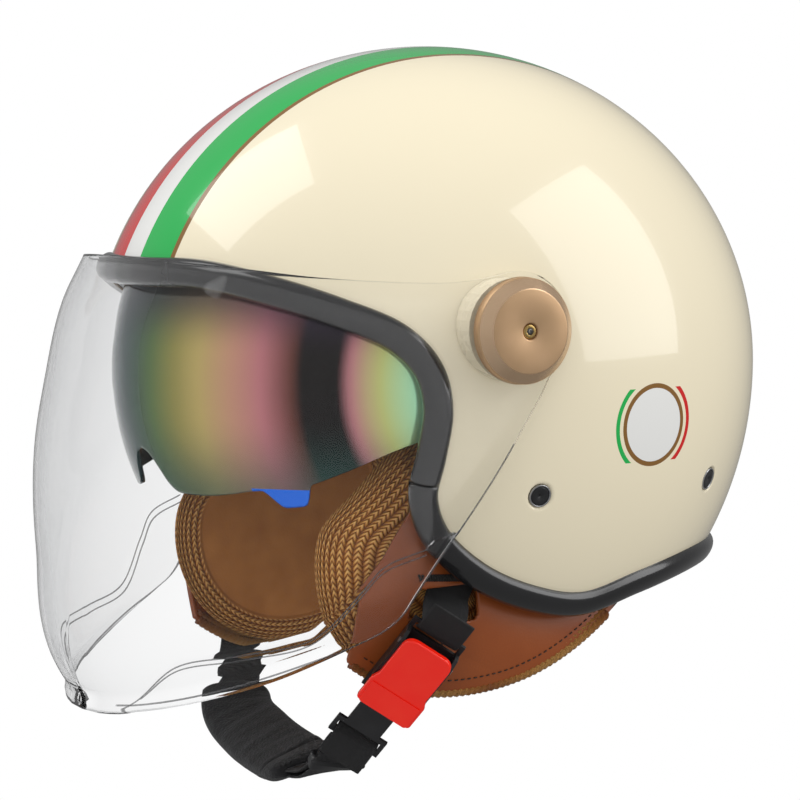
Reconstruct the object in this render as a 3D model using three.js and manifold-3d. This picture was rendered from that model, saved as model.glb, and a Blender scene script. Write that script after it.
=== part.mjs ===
// Open face motorcycle helmet: a jet-style shell with a long bubble visor, a drop-down sun visor, cheek pads with
// leather ear skirts, and a chin strap with a ratchet buckle.
// Millimetres. +Z up, -Y is the way the wearer looks, +X is the wearer's left. The origin is the middle of the visor's
// pivot axis, which is also the reference point of the head inside.
import * as THREE from "three";
import { mergeVertices } from "three/addons/utils/BufferGeometryUtils.js";
import Module from "manifold-3d";

const wasm = await Module();
wasm.setup();

// ---- Driving dimensions ----
const SHELL = { x: 125, y: 150.5, top: 138.5, bottom: 154.5, centreY: 28.5, centreZ: -21.5, wall: 4 };
const POLE = new THREE.Vector3(0, 0.72, 0.69).normalize(); // from the shell's centre to the pole of its mesh
const GAP = 0.35; // between pieces that touch
const SUN_PIVOT = { y: 8, z: -22 };
const SUN = { reach: 120, halfWidth: 112, wall: 2 };
const SUN_LIFT_ROOM = { reach: 114.5, halfWidth: 106.5 }; // what the liner keeps inside of
const HEAD = { x: 85, y: 106, z: 97, centreY: 22, centreZ: -22 }; // inside of the foam liner
const PAD_THICKNESS = 9;
const VISOR = { halfWidth: 133, wall: 2.2, roundness: 2, earX: 131.5 };
const KNOB = { radius: 21.6, base: 133.2, height: 8, bevel: 4.5 };
const STRAP = { width: 20, thickness: 1.6 };
const RIVETS = { front: [17.9, -69.3], rear: [115.2, -68.7] };
const RIVET = { head: 4.6, shank: 2.8, dimple: 2.2, length: 9, washer: 9 };
const BUCKLE = { middle: [91.5, -26.6, -139], along: [0.647, 0.249, 0.72], out: [0.88, -0.42, -0.1] };
const LEVER_SPRING_TURNS = 3;

// ---- Colours ----
const finish = (color, roughness, metalness = 0) => new THREE.MeshStandardMaterial({ color, roughness, metalness });
const cream = finish(0xf1e8cc, 0.12);
const foam = finish(0x26272a, 0.9);
const blackRubber = finish(0x17181a, 0.3);
const blackPlastic = finish(0x151517, 0.4);
const clear = new THREE.MeshStandardMaterial({ color: 0xf4f7f8, roughness: 0.05, transparent: true, opacity: 0.25 });
const mirror = finish(0x6a7a4a, 0.08, 0.7);
const bronze = finish(0xa98763, 0.35, 0.9);
const brass = finish(0xb9923e, 0.3, 0.9);
const steel = finish(0x9a9c9f, 0.3, 0.9);
const leather = finish(0x8a3c10, 0.35);
const suede = finish(0x7b4a1c, 0.95);
const webbing = finish(0x111112, 0.85);
const redPlastic = finish(0xe8190c, 0.3);

// ---- Making closed bodies ----
function solid(geometry) {
  const bare = new THREE.BufferGeometry();
  bare.setAttribute("position", geometry.getAttribute("position"));
  bare.setIndex(geometry.index);
  const merged = mergeVertices(bare, 1e-3);
  const corners = merged.index.array;
  const kept = [];
  for (let i = 0; i < corners.length; i += 3) {
    const [a, b, c] = [corners[i], corners[i + 1], corners[i + 2]];
    if (a !== b && b !== c && a !== c) kept.push(a, b, c);
  }
  const build = (triVerts) =>
    new wasm.Manifold(
      new wasm.Mesh({
        numProp: 3, vertProperties: merged.attributes.position.array, triVerts: new Uint32Array(triVerts),
      }),
    );
  const made = build(kept);
  return made.volume() > 0 ? made : build(kept.reverse());
}

function geometryOf(body) {
  const mesh = body.getMesh();
  const geometry = new THREE.BufferGeometry();
  geometry.setAttribute("position", new THREE.BufferAttribute(mesh.vertProperties, 3));
  geometry.setIndex(new THREE.BufferAttribute(mesh.triVerts, 1));
  geometry.computeVertexNormals();
  return geometry;
}

// Moves every vertex of a three.js primitive: move(vertex) returns where it goes.
function warp(geometry, move) {
  const position = geometry.getAttribute("position");
  const vertex = new THREE.Vector3();
  for (let i = 0; i < position.count; i++) {
    const moved = move(vertex.fromBufferAttribute(position, i), i);
    position.setXYZ(i, moved.x, moved.y, moved.z);
  }
  return geometry;
}

const helmet = new THREE.Group();
function add(name, body, material) {
  const mesh = new THREE.Mesh(body.isBufferGeometry ? body : geometryOf(body), material);
  mesh.name = name;
  helmet.add(mesh);
  return mesh;
}

const SIDES = [
  ["left", 1],
  ["right", -1],
];
const mirrored = (body, side) => (side > 0 ? body : body.mirror([1, 0, 0]));

// A round bar along X from x0 to x1, centred on (y, z), with a radius at each end.
function barX(x0, x1, y, z, radius, sides = 20, endRadius = radius) {
  const bar = new THREE.CylinderGeometry(endRadius, radius, x1 - x0, sides);
  bar.rotateZ(-Math.PI / 2).translate((x0 + x1) / 2, y, z);
  return solid(bar);
}

function box(width, depth, height, x, y, z) {
  return solid(new THREE.BoxGeometry(width, depth, height).translate(x, y, z));
}

const biggest = (body) => body.decompose().sort((a, b) => b.volume() - a.volume())[0];

// A prism along X whose outline is drawn in side view, as (y, z).
function sidePrism(outline, x0, x1) {
  const shape = new THREE.Shape(outline.map(([y, z]) => new THREE.Vector2(y, z)));
  const prism = new THREE.ExtrudeGeometry(shape, { depth: x1 - x0, bevelEnabled: false });
  prism.rotateY(Math.PI / 2).rotateX(Math.PI / 2).translate(x0, 0, 0);
  return solid(prism);
}

const smooth = (t) => {
  const s = Math.min(1, Math.max(0, t));
  return s * s * (3 - 2 * s);
};

// ---- The shell's outer form: an ellipsoid with a taller lower half ----
const shellCentre = new THREE.Vector3(0, SHELL.centreY, SHELL.centreZ);

function shellReach(direction, inset = 0) {
  const height = (direction.z > 0 ? SHELL.top : SHELL.bottom) - inset;
  return 1 / Math.hypot(direction.x / (SHELL.x - inset), direction.y / (SHELL.y - inset), direction.z / height);
}

function shellHalfWidth(y, z, inset = 0) {
  const height = (z > SHELL.centreZ ? SHELL.top : SHELL.bottom) - inset;
  const left = 1 - ((y - SHELL.centreY) / (SHELL.y - inset)) ** 2 - ((z - SHELL.centreZ) / height) ** 2;
  return left > 0 ? (SHELL.x - inset) * Math.sqrt(left) : 0;
}

// An edge is drawn in side view from the brow to the nape, laid on the shell's form, and mirrored.
function edgeLoop(sidePoints, steps) {
  const line = new THREE.CatmullRomCurve3(sidePoints.map(([y, z]) => new THREE.Vector3(0, y, z)), false, "centripetal");
  const onShell = (point) => new THREE.Vector3(shellHalfWidth(point.y, point.z), point.y, point.z);
  const dense = line.getSpacedPoints(400).map(onShell);
  dense[0].x = 0;
  dense[dense.length - 1].x = 0;
  const other = dense.slice(1, -1).reverse().map((p) => new THREE.Vector3(-p.x, p.y, p.z));
  const loop = new THREE.CatmullRomCurve3([...dense, ...other], true);
  return loop.getSpacedPoints(steps).slice(0, steps);
}

// A domed wall from the pole to an edge, between two forms that give the reach along a direction.
function dome(edge, rings, outerReach, innerReach, share = 1) {
  const fractions = Array.from({ length: rings + 1 }, (_, i) => i / rings);
  const outerRows = fractions.map((f) => ({ f, reach: outerReach }));
  const rows = [...outerRows, ...fractions.reverse().map((f) => ({ f, reach: innerReach }))];
  const lathe = new THREE.LatheGeometry(rows.map((_, i) => new THREE.Vector2(1, i)), edge.length);
  return solid(
    warp(lathe, (_, index) => {
      const row = rows[index % rows.length];
      const towards = edge[Math.floor(index / rows.length) % edge.length].clone().sub(shellCentre).normalize();
      const angle = POLE.angleTo(towards);
      const turn = new THREE.Vector3().crossVectors(POLE, towards).normalize();
      const direction = POLE.clone().applyAxisAngle(turn, angle * row.f * share);
      return direction.clone().multiplyScalar(row.reach(direction)).add(shellCentre);
    }),
  );
}

// ---- Shell ----
const RIM_SIDE = [
  [-114.4, 22], [-104, 22], [-84, 15.5], [-63, 7], [-43, -3], [-32, -16], [-28.3, -32], [-30, -52], [-31.5, -68],
  [-24, -85], [-3, -102.5], [25, -114], [50, -118], [80, -111], [118, -104.5], [156.2, -103],
];
const RIM_STEPS = 60;
const rim = edgeLoop(RIM_SIDE, RIM_STEPS);
const wall = (inset) => (direction) => shellReach(direction, inset);
const shellBlank = dome(rim, 9, wall(0), wall(SHELL.wall));
const shellRoom = dome(rim, 9, wall(-GAP), wall(SHELL.wall + GAP), 1.004);
const shellFilled = solid(
  warp(new THREE.SphereGeometry(1, 72, 48), (v) => {
    const direction = v.clone().normalize();
    return direction.multiplyScalar(shellReach(direction, -GAP)).add(shellCentre);
  }),
);
const pivotHole = barX(100, 140, 0, 0, 4.4);
const rivetHoles = Object.values(RIVETS).map(([y, z]) => {
  const at = rivetFrame(y, z);
  return peg(at, -RIVET.dimple, 6, RIVET.head + 0.9).add(peg(at, -12, 0, RIVET.shank + GAP));
});
let shell = shellBlank;
for (const [, side] of SIDES) {
  for (const hole of [pivotHole, ...rivetHoles]) shell = shell.subtract(mirrored(hole, side));
}
add("outer_shell", shell, cream);

// ---- Edge trims: a rubber channel on the shell's edge, in two lengths that meet at the cheeks ----
const TRIM = { half: 6.2, outside: 4.2, inside: 2.4, seamBack: 60 };
const TRIM_SECTION = 8;
function trimFrame(index) {
  const here = rim[(index + RIM_STEPS) % RIM_STEPS];
  const ahead = rim[(index + 1 + RIM_STEPS) % RIM_STEPS];
  const behind = rim[(index - 1 + RIM_STEPS) % RIM_STEPS];
  const along = ahead.clone().sub(behind).normalize();
  const height = here.z > SHELL.centreZ ? SHELL.top : SHELL.bottom;
  const off = here.clone().sub(shellCentre);
  const normal = new THREE.Vector3(off.x / SHELL.x ** 2, off.y / SHELL.y ** 2, off.z / height ** 2).normalize();
  const past = new THREE.Vector3().crossVectors(along, normal).normalize();
  return { here, normal, past };
}
function trim(first, last) {
  const steps = last - first;
  const tube = new THREE.CylinderGeometry(1, 1, 1, TRIM_SECTION, steps);
  const middle = (TRIM.outside - TRIM.inside - SHELL.wall) / 2;
  const deep = (TRIM.outside + TRIM.inside + SHELL.wall) / 2;
  const swept = warp(tube, (v) => {
    const { here, normal, past } = trimFrame(first + Math.round((v.y + 0.5) * steps));
    const [a, b] = [v.x, v.z].map((c) => Math.sign(c) * Math.abs(c) ** 0.8);
    return here.clone().addScaledVector(normal, middle + a * deep).addScaledVector(past, b * TRIM.half);
  });
  return solid(swept).subtract(shellRoom);
}
const cheekStep = rim.findIndex((p) => p.x > 0 && p.z < -TRIM.seamBack);
add("face_trim", trim(-cheekStep, cheekStep), blackRubber);
const seam = box(400, 60, 1, 0, rim[cheekStep].y, rim[cheekStep].z);
add("neck_trim", biggest(trim(cheekStep, RIM_STEPS - cheekStep).subtract(seam)), blackRubber);

// ---- Liner: foam, comfort pads, and the neck roll ----
const sunAxis = new THREE.Vector3(0, SUN_PIVOT.y, SUN_PIVOT.z);
const LINER_SIDE = [
  [-98, 40], [-86, 34], [-62, 25], [-40, 12], [-22, -8], [-8, -22], [15, -30], [42, -33], [58, -46], [68, -66],
  [88, -76], [116, -76], [145, -72],
];
const linerEdge = edgeLoop(LINER_SIDE, RIM_STEPS);
function fromShellCentre(direction, test, far = 160) {
  let [inside, outside] = [0, far];
  for (let i = 0; i < 30; i++) {
    const middle = (inside + outside) / 2;
    if (test(direction.clone().multiplyScalar(middle).add(shellCentre))) inside = middle;
    else outside = middle;
  }
  return inside;
}
const underShell = (direction) => {
  const wallReach = shellReach(direction, SHELL.wall + GAP + 1);
  const pocket = fromShellCentre(direction, (p) => {
    const off = p.clone().sub(sunAxis);
    return (off.x / SUN_LIFT_ROOM.halfWidth) ** 2 + (off.y ** 2 + off.z ** 2) / SUN_LIFT_ROOM.reach ** 2 < 1;
  });
  const inPocket = smooth((direction.z - direction.y * 0.9 + 0.25) / 0.25) * smooth((0.6 - direction.y) / 0.35);
  return Math.min(wallReach, pocket * inPocket + wallReach * (1 - inPocket));
};
const headCentre = new THREE.Vector3(0, HEAD.centreY, HEAD.centreZ);
const headReach = (grow) => (direction) =>
  fromShellCentre(direction, (p) => {
    const off = p.clone().sub(headCentre);
    return (off.x / (HEAD.x + grow)) ** 2 + (off.y / (HEAD.y + grow)) ** 2 + (off.z / (HEAD.z + grow)) ** 2 < 1;
  });
const nutRoom = barX(95, 125, 0, 0, 12);
const bracketRoom = barX(102, 125, SUN_PIVOT.y, SUN_PIVOT.z, 15);
let liner = dome(linerEdge, 8, underShell, headReach(0));
const rearRivetRoom = peg(rivetFrame(...RIVETS.rear), -14, 0, 6);
const linerRooms = nutRoom.add(bracketRoom).add(rearRivetRoom);
for (const [, side] of SIDES) liner = liner.subtract(mirrored(linerRooms, side));
add("impact_liner", liner, foam);

const CROWN_GAP = 2.6;
const crown = [];
for (let i = 0; i <= 6; i++) {
  const r = (0.6 * i) / 6;
  crown.push([r, headReachUp(r, -CROWN_GAP)]);
}
for (let i = 5; i >= 2; i--) {
  const r = (0.6 * i) / 6;
  crown.push([r, headReachUp(r, -CROWN_GAP) - PAD_THICKNESS]);
}
crown.push([0, crown[crown.length - 1][1]]);
function headReachUp(r, grow) {
  return (HEAD.z + grow) * Math.sqrt(1 - r * r);
}
const crownLathe = new THREE.LatheGeometry(crown.map(([r, z]) => new THREE.Vector2(r, z)), 32);
crownLathe.rotateX(Math.PI / 2).scale(HEAD.x - CROWN_GAP, HEAD.y - CROWN_GAP, 1);
crownLathe.translate(0, HEAD.centreY, HEAD.centreZ);
add("crown_pad", solid(crownLathe), suede);

// The neck roll runs inside the shell's lower edge, from behind one ear to behind the other.
const ROLL = { inward: 17, up: 8, thick: 9, tall: 8 };
const rollStart = rim.findIndex((p) => p.x > 0 && p.y > 62);
const rollSteps = RIM_STEPS - 2 * rollStart;
const roll = warp(new THREE.CylinderGeometry(1, 1, 1, 12, rollSteps), (v) => {
  const { here, normal, past } = trimFrame(rollStart + Math.round((v.y + 0.5) * rollSteps));
  return here
    .clone()
    .addScaledVector(normal, v.x * ROLL.thick - ROLL.inward)
    .addScaledVector(past, v.z * ROLL.tall - ROLL.up);
});
add("neck_roll", solid(roll), suede);

// ---- Cheek pads and leather skirts ----
const SKIRT = { front: -58, back: 80, thick: 2.4, tuck: 10.5 };
const rimZ = (y) => -119 + 16.5 * ((y - 50) / 53) ** 2;
const skirtTop = (y) => Math.min(rimZ(y) + 9, -80 + 1.7 * (y + 32));
const skirtBottom = (y) => -153 + 0.013 * (y + 8) ** 2 * (y < -8 ? 0.7 : 0.35);
function skirtX(y, z) {
  const along = Math.max(y, -26);
  const below = (rimZ(along) - z) / 34;
  const hang = below > 0 ? 4 * Math.sin(Math.min(below, 1) * Math.PI * 0.6) - 6 * below * below : 0;
  return shellHalfWidth(along, rimZ(along)) - SKIRT.tuck - 0.4 * (along - y) + hang;
}
const skirtSlot = { y: -14, z: -114.5, length: 30, height: 15 };
const skirt = solid(
  warp(new THREE.BoxGeometry(1, 1, 1, 1, 20, 6), (v) => {
    const y = SKIRT.front + (v.y + 0.5) * (SKIRT.back - SKIRT.front);
    const z = skirtBottom(y) + (v.z + 0.5) * (skirtTop(y) - skirtBottom(y));
    return new THREE.Vector3(skirtX(y, z) + (v.x + 0.5) * SKIRT.thick, y, z);
  }),
).subtract(box(60, skirtSlot.length, skirtSlot.height, 95, skirtSlot.y, skirtSlot.z));

const CHEEK_OUTLINE = [
  [-24, -50], [-44, -69], [-58, -84], [-61, -100], [-56, -122], [-42, -139], [-20, -149], [8, -149], [32, -138],
  [44, -115], [48, -80], [38, -50], [8, -40],
];
const CHEEK = { inner: 64, clearance: 6 };
const cheekShape = new THREE.Shape();
cheekShape.moveTo(...CHEEK_OUTLINE[0]);
cheekShape.splineThru([...CHEEK_OUTLINE.slice(1), CHEEK_OUTLINE[0]].map(([y, z]) => new THREE.Vector2(y, z)));
const cheekBlank = new THREE.ExtrudeGeometry(cheekShape, {
  depth: 0.6, bevelEnabled: true, bevelThickness: 0.2, bevelSize: 7, bevelOffset: -7, bevelSegments: 2,
  curveSegments: 3,
});
cheekBlank.translate(0, 0, 0.2);
const cheekPad = solid(
  warp(cheekBlank, (v) => {
    const outer = skirtX(v.x, v.y) - CHEEK.clearance;
    return new THREE.Vector3(CHEEK.inner + v.z * (outer - CHEEK.inner), v.x, v.y);
  }),
);

// ---- Strap rivets and anchors ----
function rivetFrame(y, z) {
  const point = new THREE.Vector3(shellHalfWidth(y, z), y, z);
  const off = point.clone().sub(shellCentre);
  const normal = new THREE.Vector3(off.x / SHELL.x ** 2, off.y / SHELL.y ** 2, off.z / SHELL.bottom ** 2).normalize();
  return { point, normal };
}
// A round peg along a rivet's axis; distances are measured outward from the shell's surface.
function peg({ point, normal }, from, to, radius, sides = 14) {
  const bar = new THREE.CylinderGeometry(radius, radius, to - from, sides).translate(0, (from + to) / 2, 0);
  bar.applyQuaternion(new THREE.Quaternion().setFromUnitVectors(new THREE.Vector3(0, 1, 0), normal));
  return solid(bar.translate(point.x, point.y, point.z));
}
for (const [name, side] of SIDES) {
  add(`ear_skirt_${name}`, mirrored(skirt, side), leather);
  add(`cheek_pad_${name}`, mirrored(cheekPad, side), suede);
  for (const [place, [y, z]] of Object.entries(RIVETS)) {
    const at = rivetFrame(y, z);
    const rivet = peg(at, -1.8, -0.2, RIVET.head).add(peg(at, -RIVET.length, -1, RIVET.shank));
    add(`strap_rivet_${place}_${name}`, mirrored(rivet, side), blackPlastic);
    if (place === "front") {
      const anchor = peg(at, -8.2, -6.7, RIVET.washer).subtract(peg(at, -12, 0, RIVET.shank + GAP));
      add(`strap_anchor_${name}`, mirrored(anchor, side), steel);
    }
  }
}

// ---- Clear visor ----
// Reach from the pivot axis at the middle of the visor, by angle below the horizon ahead, in degrees.
const VISOR_PROFILE = [
  [-60, 118], [-30, 119], [-13, 125], [-4, 132], [10, 143], [21, 157], [35, 179], [48, 206], [60, 212], [75, 212],
  [95, 190], [140, 150], [180, 135], [240, 120], [300, 118],
];
const profileCurve = new THREE.SplineCurve(VISOR_PROFILE.map(([angle, reach]) => new THREE.Vector2(angle, reach)));
const profileTable = profileCurve.getPoints(300);
function visorReach(degrees) {
  const i = profileTable.findIndex((p) => p.x > degrees);
  const [a, b] = [profileTable[Math.max(i - 1, 0)], profileTable[i < 0 ? profileTable.length - 1 : i]];
  return b.x === a.x ? a.y : a.y + ((b.y - a.y) * (degrees - a.x)) / (b.x - a.x);
}
// A closed form about an axis along X through (y, z): reach(angle below the horizon ahead) is its radius.
function bubble(halfWidth, earX, reach, y, z, roundness, around, across) {
  const ball = new THREE.SphereGeometry(1, around, across);
  ball.rotateZ(-Math.PI / 2);
  return solid(
    warp(ball, (v) => {
      const radius = Math.hypot(v.y, v.z);
      const degrees = ((((Math.atan2(-v.z, -v.y) * 180) / Math.PI) + 420) % 360) - 60;
      const x = halfWidth * Math.abs(v.x) ** (2 / roundness);
      const clipped = Math.min(x, earX);
      const scale = radius < 1e-6 ? 0 : (reach(degrees) * radius ** (2 / roundness)) / radius;
      return new THREE.Vector3(Math.sign(v.x) * clipped, y + v.y * scale, z + v.z * scale);
    }),
  );
}
const VISOR_OUTLINE = [
  [-190, 30], [-122, 28.3], [-78, 22], [-28, 19.5], [-9, 22.2], [0, 24], [9, 22.2], [17, 17], [22.2, 9], [24, 0],
  [22.2, -10], [17, -19], [1.6, -41], [-10.4, -61], [-29.8, -93], [-39, -110], [-42, -119], [-50, -125], [-75, -136],
  [-110, -151], [-139, -163], [-190, -172],
];
const EAR_HOLE = 8;
const visorShell = bubble(VISOR.halfWidth + 2, VISOR.earX, visorReach, 0, 0, VISOR.roundness, 52, 26).subtract(
  bubble(
    VISOR.halfWidth + 2 - VISOR.wall, VISOR.earX - VISOR.wall, (d) => visorReach(d) - VISOR.wall, 0, 0,
    VISOR.roundness, 52, 26,
  ),
);
let visor = visorShell.intersect(sidePrism(VISOR_OUTLINE, -150, 150));
for (const [, side] of SIDES) visor = visor.subtract(mirrored(barX(110, 150, 0, 0, EAR_HOLE), side));
add("visor_lens", biggest(visor), clear);

// ---- Drop-down sun visor ----
const sunReach = (inset) => () => SUN.reach - inset;
const SUN_EAR_X = 109;
const sunShell = bubble(SUN.halfWidth, SUN_EAR_X, sunReach(0), SUN_PIVOT.y, SUN_PIVOT.z, 2, 44, 24).subtract(
  bubble(SUN.halfWidth - SUN.wall, SUN_EAR_X - SUN.wall, sunReach(SUN.wall), SUN_PIVOT.y, SUN_PIVOT.z, 2, 44, 24),
);
const SUN_OUTLINE = [
  [-190, 66], [-4, -10], [2, -8.5], [8, -8], [16, -10], [21, -16], [22, -22], [20, -30], [14, -35], [6, -37],
  [-30, -47], [-58, -61], [-72, -74], [-80, -74], [-90, -69], [-108, -72], [-190, -72],
];
const NOTCH = [[-22, -90], [-17, -71], [-9, -58], [0, -53], [9, -58], [17, -71], [22, -90]];
const notchShape = new THREE.Shape(NOTCH.map(([x, z]) => new THREE.Vector2(x, z)));
const notch = solid(
  new THREE.ExtrudeGeometry(notchShape, { depth: 60, bevelEnabled: false }).rotateX(Math.PI / 2).translate(0, -80, 0),
);
let sun = sunShell.intersect(sidePrism(SUN_OUTLINE, -150, 150)).subtract(notch);
for (const [, side] of SIDES) sun = sun.subtract(mirrored(barX(90, 130, SUN_PIVOT.y, SUN_PIVOT.z, 4), side));
add("sun_lens", biggest(sun), mirror);

// ---- Pivot hardware ----
const insideShell = solid(
  warp(new THREE.SphereGeometry(1, 48, 32), (v) => {
    const direction = v.clone().normalize();
    return direction.multiplyScalar(shellReach(direction, SHELL.wall + 3 * GAP)).add(shellCentre);
  }),
);
const PIVOT = { plateTop: 127.3, plateRadius: 21, bushRadius: 7.6, bore: 3.4, shank: 3 };
const plate = barX(115, PIVOT.plateTop, 0, 0, PIVOT.plateRadius, 32)
  .subtract(shellFilled)
  .subtract(barX(100, 140, 0, 0, PIVOT.bore));
const washer = barX(127.6, 128.9, 0, 0, 13).subtract(barX(120, 140, 0, 0, PIVOT.bushRadius + GAP));
const bush = barX(127.6, 132.9, 0, 0, PIVOT.bushRadius).subtract(barX(120, 140, 0, 0, PIVOT.bore));
const knobTop = KNOB.base + KNOB.height;
const knob = barX(KNOB.base, knobTop - KNOB.bevel, 0, 0, KNOB.radius, 28)
  .add(barX(knobTop - KNOB.bevel - 0.01, knobTop, 0, 0, KNOB.radius, 28, 17))
  .subtract(barX(130, 145, 0, 0, PIVOT.bore))
  .subtract(barX(knobTop - 3.4, 145, 0, 0, 5));
const hexSocket = barX(knobTop - 2, 145, 0, 0, 2.6, 6);
const knobScrew = barX(109.8, knobTop - 3, 0, 0, PIVOT.shank)
  .add(barX(knobTop - 3.05, knobTop - 0.6, 0, 0, 4.6))
  .subtract(hexSocket);
const nut = barX(110, 114, 0, 0, 8, 6).subtract(barX(100, 130, 0, 0, PIVOT.bore));
const bracket = barX(110.4, 125, SUN_PIVOT.y, SUN_PIVOT.z, 12)
  .intersect(insideShell)
  .subtract(barX(105, 130, SUN_PIVOT.y, SUN_PIVOT.z, 2.6, 12));
const sunScrew = barX(106.8, 116, SUN_PIVOT.y, SUN_PIVOT.z, 2.3).add(barX(105.6, 106.9, SUN_PIVOT.y, SUN_PIVOT.z, 5.6));
for (const [name, side] of SIDES) {
  add(`pivot_plate_${name}`, mirrored(biggest(plate), side), cream);
  add(`wave_washer_${name}`, mirrored(washer, side), steel);
  add(`pivot_bush_${name}`, mirrored(bush, side), brass);
  add(`knob_${name}`, mirrored(knob, side), bronze);
  add(`knob_screw_${name}`, mirrored(knobScrew, side), brass);
  add(`pivot_nut_${name}`, mirrored(nut, side), steel);
  add(`sun_bracket_${name}`, mirrored(bracket, side), blackPlastic);
  add(`sun_pivot_screw_${name}`, mirrored(sunScrew, side), steel);
}

// ---- Chin strap: webbing from each anchor, out through the slot in the skirt, to the buckle and its tongue ----
// Webbing is a flat strip along a centre line; its width lies along the given directions, one for each point.
function strip(stations, width, thickness, steps, grow = 0) {
  const line = new THREE.CatmullRomCurve3(stations.map((s) => new THREE.Vector3(...s.at)), false, "centripetal");
  const wide = new THREE.CatmullRomCurve3(stations.map((s) => new THREE.Vector3(...s.wide).normalize()), false);
  return solid(
    warp(new THREE.BoxGeometry(1, 1, 1, 1, steps, 1), (v) => {
      const t = v.y + 0.5;
      const u = Math.min(1, Math.max(0, t));
      const along = line.getTangent(u);
      const across = wide.getPoint(u).addScaledVector(along, -wide.getPoint(u).dot(along)).normalize();
      const up = new THREE.Vector3().crossVectors(along, across);
      return line
        .getPoint(u)
        .addScaledVector(across, v.x * (width + 2 * grow))
        .addScaledVector(up, v.z * (thickness + 2 * grow));
    }),
  );
}

// The buckle is drawn flat, x across, y along its length and z out from the chin, then turned into place.
const buckleAlong = new THREE.Vector3(...BUCKLE.along).normalize();
const buckleOut = new THREE.Vector3(...BUCKLE.out);
buckleOut.addScaledVector(buckleAlong, -buckleOut.dot(buckleAlong)).normalize();
const buckleAcross = new THREE.Vector3().crossVectors(buckleAlong, buckleOut);
const buckleMiddle = new THREE.Vector3(...BUCKLE.middle);
const buckle = new THREE.Group();
buckle.quaternion.setFromRotationMatrix(new THREE.Matrix4().makeBasis(buckleAcross, buckleAlong, buckleOut));
buckle.position.copy(buckleMiddle);
helmet.add(buckle);
function addToBuckle(name, body, material) {
  buckle.add(add(name, body, material));
}
const inBuckle = (x, y, z) =>
  buckleMiddle.clone().addScaledVector(buckleAcross, x).addScaledVector(buckleAlong, y).addScaledVector(buckleOut, z);

const FRAME = { width: 25, long: 42, base: 1.6, wall: 1.6, high: 9 };
const PIN = { y: 11, z: 6.6, radius: 1.3 };
const pinHole = barX(-20, 20, PIN.y, PIN.z, PIN.radius + 0.3, 16);
let frame = box(FRAME.width, FRAME.long, FRAME.base, 0, 0, FRAME.base / 2);
for (const [, side] of SIDES) {
  const x = side * (FRAME.width - FRAME.wall) * 0.5;
  const cheek = [[-11, 0.2], [16.5, 0.2], [16.5, 6], [12.6, FRAME.high], [-11, FRAME.high]];
  frame = frame.add(sidePrism(cheek, x - FRAME.wall / 2, x + FRAME.wall / 2));
}
frame = frame.subtract(box(21, 4, 10, 0, 17.4, 0)).subtract(pinHole);
addToBuckle("buckle_frame", frame, blackPlastic);
addToBuckle("lever_pin", barX(-12.9, 12.9, PIN.y, PIN.z, PIN.radius, 16), steel);

const LEVER = { width: 23, from: -21, to: 18, under: 9.6, thick: 2.8, flare: 26 };
const leverOutline = new THREE.Shape();
leverOutline.moveTo(-LEVER.width / 2, LEVER.to - 5);
leverOutline.absarc(-LEVER.width / 2 + 5, LEVER.to - 5, 5, Math.PI, Math.PI / 2, true);
leverOutline.absarc(LEVER.width / 2 - 5, LEVER.to - 5, 5, Math.PI / 2, 0, true);
leverOutline.lineTo(LEVER.width / 2, LEVER.from + 12);
leverOutline.lineTo(LEVER.flare / 2, LEVER.from + 5);
leverOutline.absarc(LEVER.flare / 2 - 3, LEVER.from + 3, 3, 0, -Math.PI / 2, true);
leverOutline.absarc(-LEVER.flare / 2 + 3, LEVER.from + 3, 3, -Math.PI / 2, -Math.PI, true);
leverOutline.lineTo(-LEVER.flare / 2, LEVER.from + 5);
leverOutline.lineTo(-LEVER.width / 2, LEVER.from + 12);
const leverPlate = new THREE.ExtrudeGeometry(leverOutline, {
  depth: LEVER.thick, bevelEnabled: false, curveSegments: 4,
});
let lever = solid(leverPlate.translate(0, 0, LEVER.under));
for (const x of [-7, 7]) {
  lever = lever.add(barX(x - 2.6, x + 2.6, PIN.y, PIN.z, 2.75, 20)).add(box(5.2, 5, 4, x, PIN.y, 8.2));
}
lever = lever.add(box(14, 2.4, 5.2, 0, 1, 7.4)).subtract(pinHole);
addToBuckle("buckle_lever", lever, redPlastic);

class SpringCoil extends THREE.Curve {
  getPoint(t) {
    const turn = t * 2 * Math.PI * LEVER_SPRING_TURNS;
    return new THREE.Vector3(-3 + 6 * t, PIN.y + 2.3 * Math.cos(turn), PIN.z + 2.3 * Math.sin(turn));
  }
}
const wire = new THREE.Shape().absarc(0, 0, 0.35, 0, 2 * Math.PI);
const coil = new THREE.ExtrudeGeometry(wire, {
  steps: 42, extrudePath: new SpringCoil(), bevelEnabled: false, curveSegments: 3,
});
addToBuckle("lever_spring", solid(coil), steel);

const TONGUE = { width: 16, from: -48, to: 5, bottom: 2, thick: 1.7, teeth: 7, pitch: 4, tooth: 0.9 };
const tongueLong = TONGUE.to - TONGUE.from;
const tongueMid = { y: (TONGUE.to + TONGUE.from) / 2, z: TONGUE.bottom + TONGUE.thick / 2 };
let tongue = box(TONGUE.width, tongueLong, TONGUE.thick, 0, tongueMid.y, tongueMid.z);
for (let i = 0; i < TONGUE.teeth; i++) {
  const y = -2.6 - i * TONGUE.pitch;
  const root = TONGUE.bottom + 1;
  const ramp = [[y, root], [y + 2.6, root], [y, TONGUE.bottom + TONGUE.thick + TONGUE.tooth]];
  tongue = tongue.add(sidePrism(ramp, -5, 5));
}
tongue = tongue
  .add(box(24, 9, TONGUE.thick, 0, TONGUE.from + 4.5, tongueMid.z))
  .subtract(box(20.5, 3.6, 10, 0, TONGUE.from + 5, 0));
addToBuckle("buckle_tongue", tongue, blackPlastic);

const across = buckleAcross.toArray();
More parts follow.
